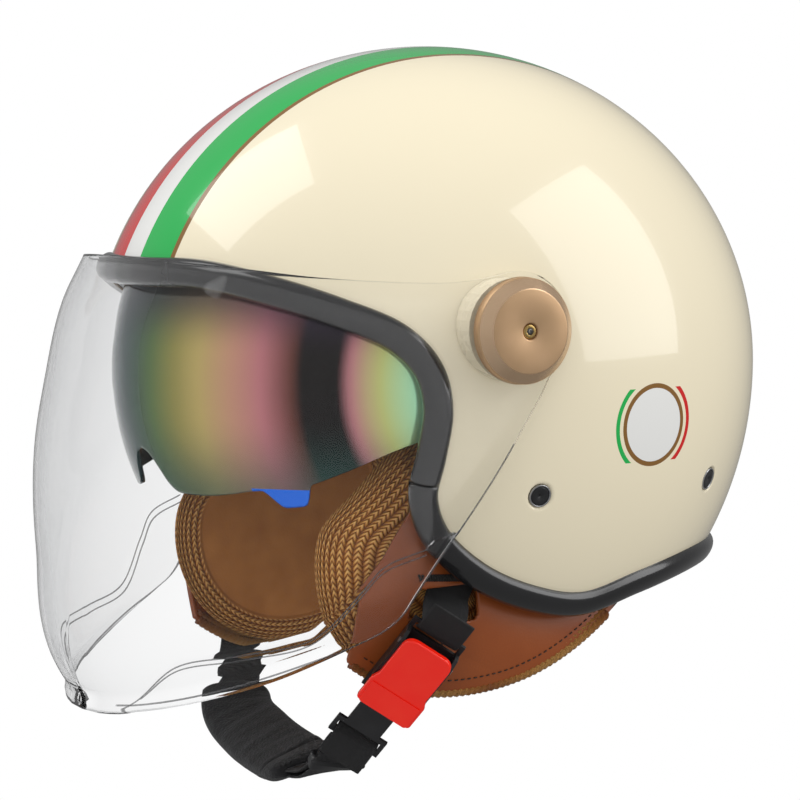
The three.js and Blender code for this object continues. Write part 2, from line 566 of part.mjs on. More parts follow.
// A place on the strap's way past the skirt, so far out from the skirt's inner face.
function bySkirt(side, out, y, z) {
  const slope = (skirtX(y + 6, z) - skirtX(y - 6, z)) / 12;
  return { at: [side * (skirtX(y, z) + out), y, z], wide: [side * slope, 1, 0] };
}
const anchorExit = (side) => [
  { at: [side * 105.5, 15, -77], wide: [0, 1, 0.1] },
  bySkirt(side, -2.9, 5, -91),
  bySkirt(side, -2.7, -4, -101),
  bySkirt(side, -1.9, -11, -109),
];
const slotOut = (side) => bySkirt(side, 1.2, skirtSlot.y, skirtSlot.z);
const leftEnd = inBuckle(0, FRAME.long / 2 + 1.6, 1.4).toArray();
const strapLeft = strip(
  [
    ...anchorExit(1),
    slotOut(1),
    { at: leftEnd, wide: across },
  ],
  STRAP.width, STRAP.thickness, 20,
);
add("strap_left", strapLeft, webbing);
const tongueEnd = inBuckle(0, TONGUE.from - 1.6, TONGUE.bottom + 0.85).toArray();
const underChin = [
  { at: [-45, -33, -188], wide: [0, 1, 0] },
  { at: [-10, -35, -192.5], wide: [0, 1, 0] },
  { at: [22, -38, -191.5], wide: [-0.05, 1, 0] },
  { at: [42, -39.5, -186.5], wide: [-0.15, 1, 0] },
  { at: tongueEnd, wide: across },
];
const rightDown = [
  slotOut(-1),
  bySkirt(-1, 5, -17, -127),
  { at: [-89, -19, -148], wide: [0, 1, 0] },
  { at: [-86, -22, -165], wide: [0, 1, 0] },
  { at: [-74, -29, -180], wide: [0, 1, 0] },
];
const rightStations = [...anchorExit(-1), ...rightDown, ...underChin];
add("strap_right", strip(rightStations, STRAP.width, STRAP.thickness, 44), webbing);

export default helmet;
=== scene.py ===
import math

import bmesh
import bpy
from mathutils import Matrix, Vector, noise


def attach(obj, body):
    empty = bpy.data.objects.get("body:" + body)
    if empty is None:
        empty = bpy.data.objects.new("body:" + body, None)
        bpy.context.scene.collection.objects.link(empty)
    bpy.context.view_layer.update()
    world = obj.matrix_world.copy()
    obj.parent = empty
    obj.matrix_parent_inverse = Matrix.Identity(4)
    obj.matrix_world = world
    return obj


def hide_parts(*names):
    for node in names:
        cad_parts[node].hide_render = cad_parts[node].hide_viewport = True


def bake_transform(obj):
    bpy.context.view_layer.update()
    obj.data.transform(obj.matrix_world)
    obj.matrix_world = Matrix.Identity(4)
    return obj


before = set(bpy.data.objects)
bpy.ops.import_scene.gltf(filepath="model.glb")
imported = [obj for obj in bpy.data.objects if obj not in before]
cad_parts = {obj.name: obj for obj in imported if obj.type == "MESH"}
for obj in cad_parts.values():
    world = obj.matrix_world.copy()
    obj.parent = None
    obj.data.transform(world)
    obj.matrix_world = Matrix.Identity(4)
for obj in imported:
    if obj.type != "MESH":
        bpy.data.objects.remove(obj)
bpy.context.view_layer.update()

# ----------------------------------------------------------------------------------------------------------
# The shell: one moulded wall in the form of an ellipsoid, taller below its centre than above, sprayed cream
# with three stripes over the crown and a plain roundel on each side, all under a thick clear coat. Its edge
# dips at the cheeks. The rivets for the strap and the liner sit in small dimples.
SHELL_X, SHELL_Y, SHELL_UP, SHELL_DOWN = 0.125, 0.1505, 0.1385, 0.1545
SHELL_CENTRE = Vector((0, 0.0285, -0.0215))
SHELL_WALL = 0.004
POLE = Vector((0, 0.72, 0.69)).normalized()
RIM_SIDE = [
    (-0.1144, 0.022), (-0.104, 0.022), (-0.084, 0.0155), (-0.063, 0.007), (-0.043, -0.003),
    (-0.032, -0.016), (-0.0283, -0.032), (-0.030, -0.052), (-0.0315, -0.068), (-0.024, -0.085),
    (-0.003, -0.1025), (0.025, -0.114), (0.050, -0.118), (0.080, -0.111), (0.118, -0.1045),
    (0.1562, -0.103),
]
RIM_STEPS = 360
RIVETS = {"front": (0.0179, -0.0693), "rear": (0.1152, -0.0687)}
DIMPLE_RADIUS, DIMPLE_DEPTH, DIMPLE_EASE, DIMPLE_SLOPE = 0.0054, 0.0020, 0.0008, 0.0012
DIMPLE_FINE, DIMPLE_RELAID = 0.0095, 0.013
SIDES = {"left": 1, "right": -1}


def smooth(t):
    t = min(1.0, max(0.0, t))
    return t * t * (3 - 2 * t)


def evenly(points, count, closed=False):
    """So many points, evenly spaced along a line through the given ones."""
    points = points + points[:1] if closed else points
    reach = [0.0]
    for a, b in zip(points, points[1:]):
        reach.append(reach[-1] + (b - a).length)
    places, i = [], 0
    for k in range(count):
        want = reach[-1] * k / (count if closed else count - 1)
        while i < len(points) - 2 and reach[i + 1] < want:
            i += 1
        span = reach[i + 1] - reach[i]
        places.append(points[i].lerp(points[i + 1], (want - reach[i]) / span if span else 0))
    return places


def spline(given, count, closed=False):
    """So many points, evenly spaced along a smooth curve through the given ones."""
    given = [Vector(p) for p in given]
    if closed:
        ends = given[-1:] + given + given[:2]
    else:
        ends = [2 * given[0] - given[1]] + given + [2 * given[-1] - given[-2]]
    dense = []
    for a, b, c, d in zip(ends, ends[1:], ends[2:], ends[3:]):
        k1 = (b - a).length ** 0.5
        k2 = k1 + (c - b).length ** 0.5
        k3 = k2 + (d - c).length ** 0.5
        for step in range(20):
            t = k1 + (k2 - k1) * step / 20
            ab, bc, cd = a.lerp(b, t / k1), b.lerp(c, (t - k1) / (k2 - k1)), c.lerp(d, (t - k2) / (k3 - k2))
            dense.append(ab.lerp(bc, t / k2).lerp(bc.lerp(cd, (t - k1) / (k3 - k1)), (t - k1) / (k2 - k1)))
    return evenly(dense if closed else dense + [given[-1]], count, closed)


def shell_reach(direction, inset=0.0):
    height = (SHELL_UP if direction.z > 0 else SHELL_DOWN) - inset
    half = (SHELL_X - inset, SHELL_Y - inset, height)
    return 1 / Vector([a / b for a, b in zip(direction, half)]).length


def shell_x(y, z, inset=0.0):
    """Half the shell's width at a place in its side view."""
    height = (SHELL_UP if z > SHELL_CENTRE.z else SHELL_DOWN) - inset
    left = 1 - ((y - SHELL_CENTRE.y) / (SHELL_Y - inset)) ** 2 - ((z - SHELL_CENTRE.z) / height) ** 2
    return (SHELL_X - inset) * math.sqrt(max(left, 0))


def shell_normal(place):
    off = place - SHELL_CENTRE
    height = SHELL_UP if off.z > 0 else SHELL_DOWN
    return Vector((off.x / SHELL_X**2, off.y / SHELL_Y**2, off.z / height**2)).normalized()


def edge_loop(side_points, steps):
    """An edge drawn in side view from brow to nape, laid on the shell and closed round the other side."""
    side = spline([(y, z, 0) for y, z in side_points], 400)
    half = [Vector((shell_x(p.x, p.y), p.x, p.y)) for p in side]
    half[0].x = half[-1].x = 0
    return evenly(half + [Vector((-p.x, p.y, p.z)) for p in half[-2:0:-1]], steps, closed=True)


def grid(across, along, place):
    """A bmesh grid with a UV map; the vertex at (u, v), both from 0 to 1, goes to place(u, v)."""
    bm = bmesh.new()
    bm.loops.layers.uv.new("UVMap")
    bmesh.ops.create_grid(bm, x_segments=across, y_segments=along, size=0.5, calc_uvs=True)
    for vertex in bm.verts:
        vertex.co = place(min(1, max(0, vertex.co.x + 0.5)), min(1, max(0, vertex.co.y + 0.5)))
    bmesh.ops.remove_doubles(bm, verts=bm.verts, dist=1e-6)
    bmesh.ops.recalc_face_normals(bm, faces=bm.faces)
    return bm


def from_pole(edge, u, share):
    """The direction from the shell's centre that lies a share of the way from the pole to the edge."""
    place = u * len(edge)
    i = int(place)
    at = edge[i % len(edge)].lerp(edge[(i + 1) % len(edge)], place - i)
    towards = (at - SHELL_CENTRE).normalized()
    turn = POLE.cross(towards).normalized()
    return Matrix.Rotation(POLE.angle(towards) * share, 3, turn) @ POLE


def piece_from(bm, name, material, body, stands_for=()):
    mesh = bpy.data.meshes.new(name)
    bm.to_mesh(mesh)
    bm.free()
    mesh.shade_smooth()
    mesh.materials.append(material)
    piece = bpy.data.objects.new(name, mesh)
    bpy.context.scene.collection.objects.link(piece)
    if body:
        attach(piece, body)
    if stands_for:
        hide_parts(*stands_for)
    return piece


def with_wall(piece, thickness, offset=-1.0):
    wall = piece.modifiers.new("wall", "SOLIDIFY")
    wall.thickness = thickness
    wall.offset = offset
    wall.use_even_offset = True
    return piece


class Finish:
    """A material being put together: nodes are added by short calls, joined by passing outputs as inputs."""

    def __init__(self, name, color=(0.8, 0.8, 0.8), rough=0.5, metal=0.0, tree=None):
        if tree:
            self.tree = tree
            return
        self.material = bpy.data.materials.new(name)
        self.material.use_nodes = True
        self.tree = self.material.node_tree
        self.shader = self.tree.nodes["Principled BSDF"]
        self.set("Base Color", (*color, 1))
        self.set("Roughness", rough)
        self.set("Metallic", metal)

    def set(self, socket, value):
        if isinstance(value, bpy.types.NodeSocket):
            self.tree.links.new(value, self.shader.inputs[socket])
        else:
            self.shader.inputs[socket].default_value = value

    def add(self, kind, settings=None, **inputs):
        node = self.tree.nodes.new(kind)
        for key, value in (settings or {}).items():
            setattr(node, key, value)
        for key, value in inputs.items():
            socket = node.inputs[int(key[1:])] if key[0] == "_" else node.inputs[key.replace("_", " ")]
            if isinstance(value, bpy.types.NodeSocket):
                self.tree.links.new(value, socket)
            else:
                socket.default_value = value
        return node

    def math(self, operation, *values):
        numbered = {f"_{i}": value for i, value in enumerate(values)}
        return self.add("ShaderNodeMath", {"operation": operation}, **numbered).outputs[0]

    def mix(self, factor, a, b):
        a, b = [(*c, 1) if isinstance(c, tuple) and len(c) == 3 else c for c in (a, b)]
        return self.add("ShaderNodeMix", {"data_type": "RGBA"}, _0=factor, _6=a, _7=b).outputs[2]

    def mix_numbers(self, factor, a, b):
        return self.add("ShaderNodeMix", {"data_type": "FLOAT"}, _0=factor, _2=a, _3=b).outputs[0]

    def ease(self, value, start, end, low=0.0, high=1.0):
        """A smooth step from low to high as the value goes from start to end."""
        kind = {"interpolation_type": "SMOOTHSTEP"}
        return self.add("ShaderNodeMapRange", kind, _0=value, _1=start, _2=end, _3=low, _4=high).outputs[0]

    def place(self):
        """Object coordinates."""
        return self.add("ShaderNodeTexCoord").outputs["Object"]

    def apart(self, vector):
        return self.add("ShaderNodeSeparateXYZ", _0=vector).outputs

    def group(self, made, **inputs):
        return self.add("ShaderNodeGroup", {"node_tree": made}, **inputs).outputs

    def bump(self, height, strength, distance):
        node = self.add("ShaderNodeBump", Height=height, Strength=strength, Distance=distance)
        self.set("Normal", node.outputs[0])


def new_group(name, inputs, outputs):
    """An empty node group with named float inputs, a vector input called Place, and float outputs."""
    tree = bpy.data.node_groups.new(name, "ShaderNodeTree")
    tree.interface.new_socket("Place", in_out="INPUT", socket_type="NodeSocketVector")
    for label in inputs:
        tree.interface.new_socket(label, in_out="INPUT", socket_type="NodeSocketFloat")
    for label in outputs:
        tree.interface.new_socket(label, in_out="OUTPUT", socket_type="NodeSocketFloat")
    build = Finish(name, tree=tree)
    return build, tree.nodes.new("NodeGroupInput").outputs, tree.nodes.new("NodeGroupOutput").inputs


# Fine unevenness that every moulded, coated or sewn surface has: a grain for bumps, a slow mottle for colour.
build, given, out = new_group("surface_grain", ["Size", "Mottle Size"], ["Grain", "Mottle"])
grain_scale = build.math("DIVIDE", 1.0, given["Size"])
mottle_scale = build.math("DIVIDE", 1.0, given["Mottle Size"])
fine = build.add("ShaderNodeTexNoise", Vector=given["Place"], Scale=grain_scale, Detail=3.0)
slow = build.add("ShaderNodeTexNoise", Vector=given["Place"], Scale=mottle_scale, Detail=2.0)
build.tree.links.new(fine.outputs[0], out["Grain"])
build.tree.links.new(slow.outputs[0], out["Mottle"])
surface_grain = build.tree

STRIPE_WHITE, STRIPE_COLOUR, STRIPE_LINE = 0.0082, 0.0292, 0.0316
ROUNDEL = (0.073, -0.042)
ROUNDEL_FIELD, ROUNDEL_RING, ARC_INSIDE, ARC_OUTSIDE, ARC_TALL = 0.0155, 0.0175, 0.0193, 0.0213, 0.0155
CREAM, WHITE, GREEN, RED = (0.86, 0.775, 0.575), (0.80, 0.80, 0.78), (0.0, 0.42, 0.075), (0.60, 0.003, 0.006)
PINLINE_GOLD = (0.22, 0.10, 0.018)

paint = Finish("cream_paint", CREAM, 0.22)
x, y, z = paint.apart(paint.place())
wide = paint.math("ABSOLUTE", x)
on_left = paint.math("GREATER_THAN", x, 0.0)
colour = paint.mix(paint.math("LESS_THAN", wide, STRIPE_LINE), CREAM, PINLINE_GOLD)
colour = paint.mix(paint.math("LESS_THAN", wide, STRIPE_COLOUR), colour, paint.mix(on_left, RED, GREEN))
colour = paint.mix(paint.math("LESS_THAN", wide, STRIPE_WHITE), colour, WHITE)
dy, dz = paint.math("SUBTRACT", y, ROUNDEL[0]), paint.math("SUBTRACT", z, ROUNDEL[1])
away = paint.math("SQRT", paint.math("ADD", paint.math("MULTIPLY", dy, dy), paint.math("MULTIPLY", dz, dz)))
near_level = paint.math("LESS_THAN", paint.math("ABSOLUTE", dz), ARC_TALL)
past_inside = paint.math("GREATER_THAN", away, ARC_INSIDE)
in_arc = paint.math("MULTIPLY", past_inside, paint.math("LESS_THAN", away, ARC_OUTSIDE))
arc_colour = paint.mix(paint.math("GREATER_THAN", dy, 0.0), GREEN, RED)
colour = paint.mix(paint.math("MULTIPLY", in_arc, near_level), colour, arc_colour)
colour = paint.mix(paint.math("LESS_THAN", away, ROUNDEL_RING), colour, PINLINE_GOLD)
colour = paint.mix(paint.math("LESS_THAN", away, ROUNDEL_FIELD), colour, WHITE)
grain = paint.group(surface_grain, Place=paint.place(), Size=0.0016, Mottle_Size=0.06)
shade = paint.mix(paint.math("MULTIPLY", grain["Mottle"], 0.05), colour, (0.55, 0.47, 0.33))
paint.set("Base Color", shade)
paint.set("Roughness", paint.math("MULTIPLY_ADD", grain["Grain"], 0.08, 0.16))
paint.set("Coat Weight", 0.7)
paint.set("Specular IOR Level", 0.25)
paint.set("Coat Roughness", 0.035)
paint.bump(grain["Grain"], 0.05, 0.0001)

rim = edge_loop(RIM_SIDE, RIM_STEPS)
bm = grid(240, 64, lambda u, v: SHELL_CENTRE + (d := from_pole(rim, u, v)) * shell_reach(d))
for side in SIDES.values():
    for y, z in RIVETS.values():
        middle = Vector((side * shell_x(y, z), y, z))
        axis = shell_normal(middle)
        edges = [e for e in bm.edges if ((e.verts[0].co + e.verts[1].co) / 2 - middle).length < DIMPLE_FINE]
        bmesh.ops.subdivide_edges(bm, edges=edges, cuts=4, use_grid_fill=True)
        for vertex in bm.verts:
            if (vertex.co - middle).length > DIMPLE_RELAID:
                continue
            d = (vertex.co - SHELL_CENTRE).normalized()
            vertex.co = SHELL_CENTRE + d * shell_reach(d)
            off = vertex.co - middle
            out_by = (off - axis * off.dot(axis)).length
            rise = smooth((out_by - DIMPLE_RADIUS + DIMPLE_EASE) / DIMPLE_SLOPE)
            vertex.co -= axis * DIMPLE_DEPTH * (1 - rise)
piece = piece_from(bm, "shell_painted", paint.material, "root", ["outer_shell"])
with_wall(piece, SHELL_WALL)

# ----------------------------------------------------------------------------------------------------------
# The edge trims: a glossy black rubber channel pressed over the shell's edge, one length round the face and
# one round the neck, which meet at the cheeks. A thin tan bead shows along the inner lip of both.
TRIM_HALF, TRIM_OUT, TRIM_IN, TRIM_SQUARE = 0.0062, 0.0042, 0.0060, 0.88
SEAM_Z = -0.0615
BEAD_RADIUS, BEAD_IN, BEAD_SHORT = 0.0009, 0.0036, 0.0014


def rim_frame(index):
    """A place on the rim, the shell's normal there, and the way past the edge; index may be a fraction."""
    low = math.floor(index)
    here, then = rim[low % RIM_STEPS], rim[(low + 1) % RIM_STEPS]
    here = here.lerp(then, index - low)
    along = (rim[(low + 3) % RIM_STEPS] - rim[(low - 2) % RIM_STEPS]).normalized()
    normal = shell_normal(here)
    return here, normal, along.cross(normal).normalized()


def capped(bm):
    """The same mesh with any open ends filled and its faces turned outwards."""
    ends = [e for e in bm.edges if e.is_boundary]
    if ends:
        bmesh.ops.holes_fill(bm, edges=ends)
    bmesh.ops.recalc_face_normals(bm, faces=bm.faces)
    return bm


def tube_on_rim(start, end, steps, around, section):
    """A closed tube along part of the rim; section(angle) gives how far out and past the edge it lies."""

    def place(u, v):
        here, normal, past = rim_frame(start + (end - start) * v)
        out_by, past_by = section(2 * math.pi * u)
        return here + normal * out_by + past * past_by

    return capped(grid(around, steps, place))


def rounded(angle, across_power, up_power):
    """A place on a circle of radius 1, made squarer by powers under 1."""
    c, s = math.cos(angle), math.sin(angle)
    return math.copysign(abs(c) ** across_power, c), math.copysign(abs(s) ** up_power, s)


def trim_section(angle):
    out_by, past_by = rounded(angle, TRIM_SQUARE, TRIM_SQUARE)
    return (TRIM_OUT - TRIM_IN) / 2 + out_by * (TRIM_OUT + TRIM_IN) / 2, past_by * TRIM_HALF


def bead_section(angle):
    return BEAD_RADIUS * math.cos(angle) - BEAD_IN, TRIM_HALF - BEAD_SHORT + BEAD_RADIUS * math.sin(angle)


def mottled(name, color, other=None, rough=0.5, spread=0.0, grain=0.0008, mottle=0.01, bump=(0.15, 0.0002),
            metal=0.0, **sockets):
    """A finish whose colour and roughness vary slowly between two values, with a fine grain in relief."""
    made = Finish(name, color, rough, metal)
    uneven = made.group(surface_grain, Place=made.place(), Size=grain, Mottle_Size=mottle)
    if other:
        made.set("Base Color", made.mix(uneven["Mottle"], color, other))
    if spread:
        made.set("Roughness", made.math("MULTIPLY_ADD", uneven["Mottle"], spread, rough))
    for socket, value in sockets.items():
        made.set(socket.replace("_", " "), value)
    made.bump(uneven["Grain"], *bump)
    return made.material


rubber = mottled("trim_rubber", (0.012, 0.012, 0.013), None, 0.12, 0.22, 0.0006, 0.02, (0.12, 0.0002),
                 Coat_Weight=0.6, Coat_Roughness=0.1)
bead = mottled("trim_bead", (0.2, 0.1, 0.03), (0.4, 0.24, 0.1), 0.5, 0.0, 0.0008, 0.006, (0.4, 0.0003))

seam = next(i for i, p in enumerate(rim) if p.x > 0 and p.z < SEAM_Z)
SEAM_GAP = 0.12
lengths = {
    "face_trim": (SEAM_GAP - seam, seam - SEAM_GAP),
    "neck_trim": (seam + SEAM_GAP, RIM_STEPS - seam - SEAM_GAP),
}
for name, (start, end) in lengths.items():
    bm = tube_on_rim(start, end, 300, 28, trim_section)
    piece_from(bm, name + "_rubber", rubber, "root", [name])
    bm = tube_on_rim(start, end, 260, 10, bead_section)
    piece_from(bm, name + "_bead", bead, "root")

# ----------------------------------------------------------------------------------------------------------
# The clear visor: one long bubble of moulded polycarbonate that hangs from the side pivots. It flattens
# into a round ear at each pivot, has a pressed step that runs round its lower half, and a small lip turned
# out along its foot.
VISOR_HALF, VISOR_EAR_X, VISOR_POWER, VISOR_WALL = 0.135, 0.1315, 2.0, 0.0022
EAR_EASE = 0.001
# How far the visor's middle lies from the pivot axis, by angle in degrees below the way the wearer looks.
VISOR_PROFILE = [
    (-60, 0.118), (-30, 0.119), (-13, 0.125), (-4, 0.132), (10, 0.143), (21, 0.157), (35, 0.179), (48, 0.206),
    (60, 0.212), (75, 0.212), (95, 0.190), (140, 0.150), (180, 0.135), (240, 0.120), (300, 0.118),
]
profile_points = spline([(angle / 1000, reach, 0) for angle, reach in VISOR_PROFILE], 600)


def visor_profile(degrees):
    want = degrees / 1000
    low, high = 0, len(profile_points) - 1
    while high - low > 1:
        middle = (low + high) // 2
        low, high = (middle, high) if profile_points[middle].x <= want else (low, middle)
    a, b = profile_points[low], profile_points[high]
    return a.y + (b.y - a.y) * (want - a.x) / (b.x - a.x)


class Bubble:
    """A form about an axis along X: a sphere stretched to fit, whose places are told by directions."""

    def __init__(self, axis_y, axis_z, half, ear_x, power, reach):
        self.y, self.z, self.half, self.ear_x = axis_y, axis_z, half, ear_x
        self.power, self.reach = power, reach

    def reach_at(self, y, z):
        return self.reach((math.degrees(math.atan2(-z, -y)) + 420) % 360 - 60)

    def direction(self, y, z):
        """The direction, on the +X side, of the place that shows at (y, z) in side view."""
        y, z = y - self.y, z - self.z
        share = min(1.0, math.hypot(y, z) / self.reach_at(y, z)) ** (self.power / 2)
        length = max(math.hypot(y, z), 1e-9)
        return Vector((math.sqrt(max(0.0, 1 - share * share)), share * y / length, share * z / length))

    def direction_ahead(self, x, z):
        """The direction of the place ahead that shows at (x, z) in front view."""
        share = max(0.0, 1 - (x / self.half) ** self.power) ** (1 / self.power)
        y = -math.sqrt(max(0.0, (self.reach_at(-1, 0) * share) ** 2 - (z - self.z) ** 2))
        return self.direction(self.y + y, z)

    def place(self, direction):
        radius = math.hypot(direction.y, direction.z)
        x = self.half * abs(direction.x) ** (2 / self.power)
        over = x - self.ear_x + EAR_EASE
        if over > 0:
            x = self.ear_x - EAR_EASE * math.exp(-over / EAR_EASE)
        scale = 0
        if radius > 1e-6:
            scale = self.reach_at(direction.y, direction.z) * radius ** (2 / self.power) / radius
        x = math.copysign(x, direction.x)
        return Vector((x, self.y + direction.y * scale, self.z + direction.z * scale))

    def sheet(self, top, foot, across, along, shift=None):
        """A grid between a top and a foot edge, each a list of directions from the middle to the +X ear."""

        def place(u, v):
            side, share = (1, 2 * u - 1) if u >= 0.5 else (-1, 1 - 2 * u)
            at = share * (len(top) - 1)
            i = min(int(at), len(top) - 2)
            a = top[i].lerp(top[i + 1], at - i).normalized()
            b = foot[i].lerp(foot[i + 1], at - i).normalized()
            direction = a.slerp(b, 1 - v, a) if (a - b).length > 1e-6 else a
            point = self.place(direction)
            if shift:
                near = self.place((direction + Vector((0.01, 0, 0))).normalized())
                beside = b if v > 0.03 else a
                lower = self.place(direction.slerp(beside, 0.02, beside))
                normal = (near - point).cross(lower - point)
                out = Vector((point.x * 0.6, point.y - self.y, point.z - self.z))
                normal = normal.normalized() if normal.length > 1e-12 else out.normalized()
                normal = normal if normal.dot(out) > 0 else -normal
                point = point + normal * shift(point, v)
            return Vector((side * point.x, point.y, point.z))

        bm = grid(across, along, place)
        middle = Vector((0, self.y, self.z))
        if sum(1 if f.normal.dot(f.calc_center_median() - middle) > 0 else -1 for f in bm.faces) < 0:
            bmesh.ops.reverse_faces(bm, faces=bm.faces)
        return bm


def distance_below(line, y, z):
    """How far a place in side view lies below a line of points."""
    best, sign = 1e9, 1
    for (y0, z0), (y1, z1) in zip(line, line[1:]):
        dy, dz = y1 - y0, z1 - z0
        t = min(1, max(0, ((y - y0) * dy + (z - z0) * dz) / (dy * dy + dz * dz)))
        off = math.hypot(y - y0 - t * dy, z - z0 - t * dz)
        if off < best:
            best, sign = off, 1 if dy * (z - z0) - dz * (y - y0) < 0 else -1
    return best * sign


VISOR_TOP = [
    (-0.1217, 0.0283), (-0.100, 0.0252), (-0.078, 0.022), (-0.052, 0.0202), (-0.028, 0.0200),
    (-0.010, 0.0225),
]
VISOR_FOOT = [
    (-0.139, -0.163), (-0.125, -0.1572), (-0.110, -0.151), (-0.092, -0.1435), (-0.075, -0.136),
    (-0.058, -0.1285), (-0.048, -0.123), (-0.0415, -0.1165), (-0.0375, -0.108), (-0.0298, -0.093),
    (-0.0104, -0.061), (0.0016, -0.041), (0.0120, -0.0245),
]
EAR_RADIUS, EAR_STEPS = 0.024, 8
PRESSED_LINE = [
    (-0.1285, -0.1600), (-0.1210, -0.1380), (-0.1010, -0.1320), (-0.0760, -0.1250), (-0.0610, -0.1060),
    (-0.0530, -0.0950), (-0.0360, -0.0880),
]
PRESSED_DEPTH, PRESSED_RAMP, PRESSED_FROM_X, PRESSED_EASE_X = 0.0010, 0.0040, 0.028, 0.008
LIP_OUT, LIP_SHARE = 0.0040, 0.030

visor_form = Bubble(0, 0, VISOR_HALF, VISOR_EAR_X, VISOR_POWER, visor_profile)


def ear_arc(radius, start, end, centre=(0, 0)):
    angles = [math.radians(start + (end - start) * i / EAR_STEPS) for i in range(EAR_STEPS + 1)]
    return [(centre[0] + radius * math.cos(a), centre[1] + radius * math.sin(a)) for a in angles]


def edge_directions(form, side_points, count):
    """An edge in side view, as evenly spaced directions."""
    line = spline([(y, z, 0) for y, z in side_points], count)
    return [form.direction(p.x, p.y) for p in line]


def visor_shift(point, v):
    below = distance_below(PRESSED_LINE, point.y, point.z)
    step = -PRESSED_DEPTH * smooth(below / PRESSED_RAMP + 0.5)
    step *= smooth((abs(point.x) - PRESSED_FROM_X) / PRESSED_EASE_X)
    ahead = smooth((-point.y - 0.05) / 0.04)
    return step + LIP_OUT * ahead * smooth((LIP_SHARE - v) / LIP_SHARE) ** 1.5


EDGE_COUNT = 150
top = edge_directions(visor_form, VISOR_TOP + ear_arc(EAR_RADIUS, 100, 0), EDGE_COUNT)
foot = edge_directions(visor_form, VISOR_FOOT + ear_arc(EAR_RADIUS, -52, 0), EDGE_COUNT)

clear = Finish("clear_polycarbonate", (0.93, 0.945, 0.95), 0.0)
grain = clear.group(surface_grain, Place=clear.place(), Size=0.012, Mottle_Size=0.09)
grazing = clear.add("ShaderNodeLayerWeight", Blend=0.35).outputs["Facing"]
tint = clear.mix(grain["Mottle"], (0.965, 0.968, 0.968), (0.985, 0.985, 0.985))
clear.set("Base Color", clear.mix(grazing, tint, (0.60, 0.605, 0.615)))
clear.set("Roughness", clear.math("MULTIPLY", grain["Mottle"], 0.004))
clear.set("IOR", 1.22)
clear.set("Transmission Weight", 1.0)
bm = visor_form.sheet(top, foot, 300, 120, visor_shift)
with_wall(piece_from(bm, "visor_clear", clear.material, "visor", ["visor_lens"]), VISOR_WALL)


def joined(meshes):
    """One bmesh from several."""
    whole = bmesh.new()
    for bm in meshes:
        part = bpy.data.meshes.new("part")
        bm.to_mesh(part)
        bm.free()
        whole.from_mesh(part)
        bpy.data.meshes.remove(part)
    return whole


# Painted shade: the step's upper edge and the foot's edge show as fine dark lines in the clear wall, drawn
# here as thin dark tubes.
painted_edge_shade = Finish("clear_edge_painted_shade", (0.05, 0.05, 0.055), 0.1)
grain = painted_edge_shade.group(surface_grain, Place=painted_edge_shade.place(), Size=0.004, Mottle_Size=0.03)
painted_edge_shade.set("Base Color", painted_edge_shade.mix(grain["Mottle"], (0.02, 0.02, 0.022), (0.22, 0.22, 0.23)))
painted_edge_shade.set("Alpha", painted_edge_shade.math("MULTIPLY_ADD", grain["Mottle"], 0.3, 0.35))
EDGE_LINE, FOOT_LINE = 0.00035, 0.0004
crease = spline([(y, z, 0) for y, z in PRESSED_LINE], 120)
lines = []
for side in SIDES.values():
    for line, depth in ((crease, 0.0002), ([Vector((y, z - 0.0032, 0)) for y, z, _ in crease[8:]], 0.0012)):
        spots = [visor_form.place(visor_form.direction(p.x, p.y)) * (1 - depth / 0.15) for p in line]
        lines.append(([Vector((side * s.x, s.y, s.z)) for s in spots], EDGE_LINE))
    spots = [visor_form.place(d) * (1 - 0.0008 / 0.15) for d in foot[6:118:2]]
    lines.append(([Vector((side * s.x, s.y, s.z)) for s in spots], FOOT_LINE))
tubes = []
for line, radius in lines:

    def place(u, v):
        spot = line[round(v * (len(line) - 1))]
        return spot + Vector((0, math.cos(2 * math.pi * u), math.sin(2 * math.pi * u))) * radius

    tubes.append(grid(8, len(line) - 1, place))
piece_from(joined(tubes), "visor_painted_edge_shade", painted_edge_shade.material, "visor")

# ----------------------------------------------------------------------------------------------------------
# The sun visor: a tinted lens with a mirror coating whose colour runs from blue through green and pink to
# mint. It swings on its own pivots up into the gap between shell and liner. Its foot is cut out over the
# nose, and a tab on the wearer's left pulls it down.
SUN_Y, SUN_Z, SUN_HALF, SUN_EAR_X, SUN_REACH, SUN_WALL = 0.008, -0.022, 0.112, 0.109, 0.120, 0.0019
sun_form = Bubble(SUN_Y, SUN_Z, SUN_HALF, SUN_EAR_X, 2.0, lambda degrees: SUN_REACH)
SUN_TOP = [(-0.1015, 0.0268), (-0.078, 0.0163), (-0.050, 0.0038), (-0.022, -0.0087), (-0.002, -0.0148)]
SUN_FOOT_AHEAD = [
    (0.0, -0.0530), (0.0055, -0.0550), (0.0105, -0.0605), (0.0150, -0.0675), (0.0190, -0.0705),
    (0.0280, -0.0712), (0.0400, -0.0708), (0.0500, -0.0694), (0.0580, -0.0678),
]
SUN_FOOT_SIDE = [
    (-0.0700, -0.0655), (-0.0570, -0.0590), (-0.0400, -0.0500), (-0.0200, -0.0420), (-0.0030, -0.0350),
]
SUN_EAR_RADIUS = 0.013
TAB_MIDDLE, TAB_HALF, TAB_DOWN, TAB_BACK = 0.070, 0.0085, 0.0075, 0.0044

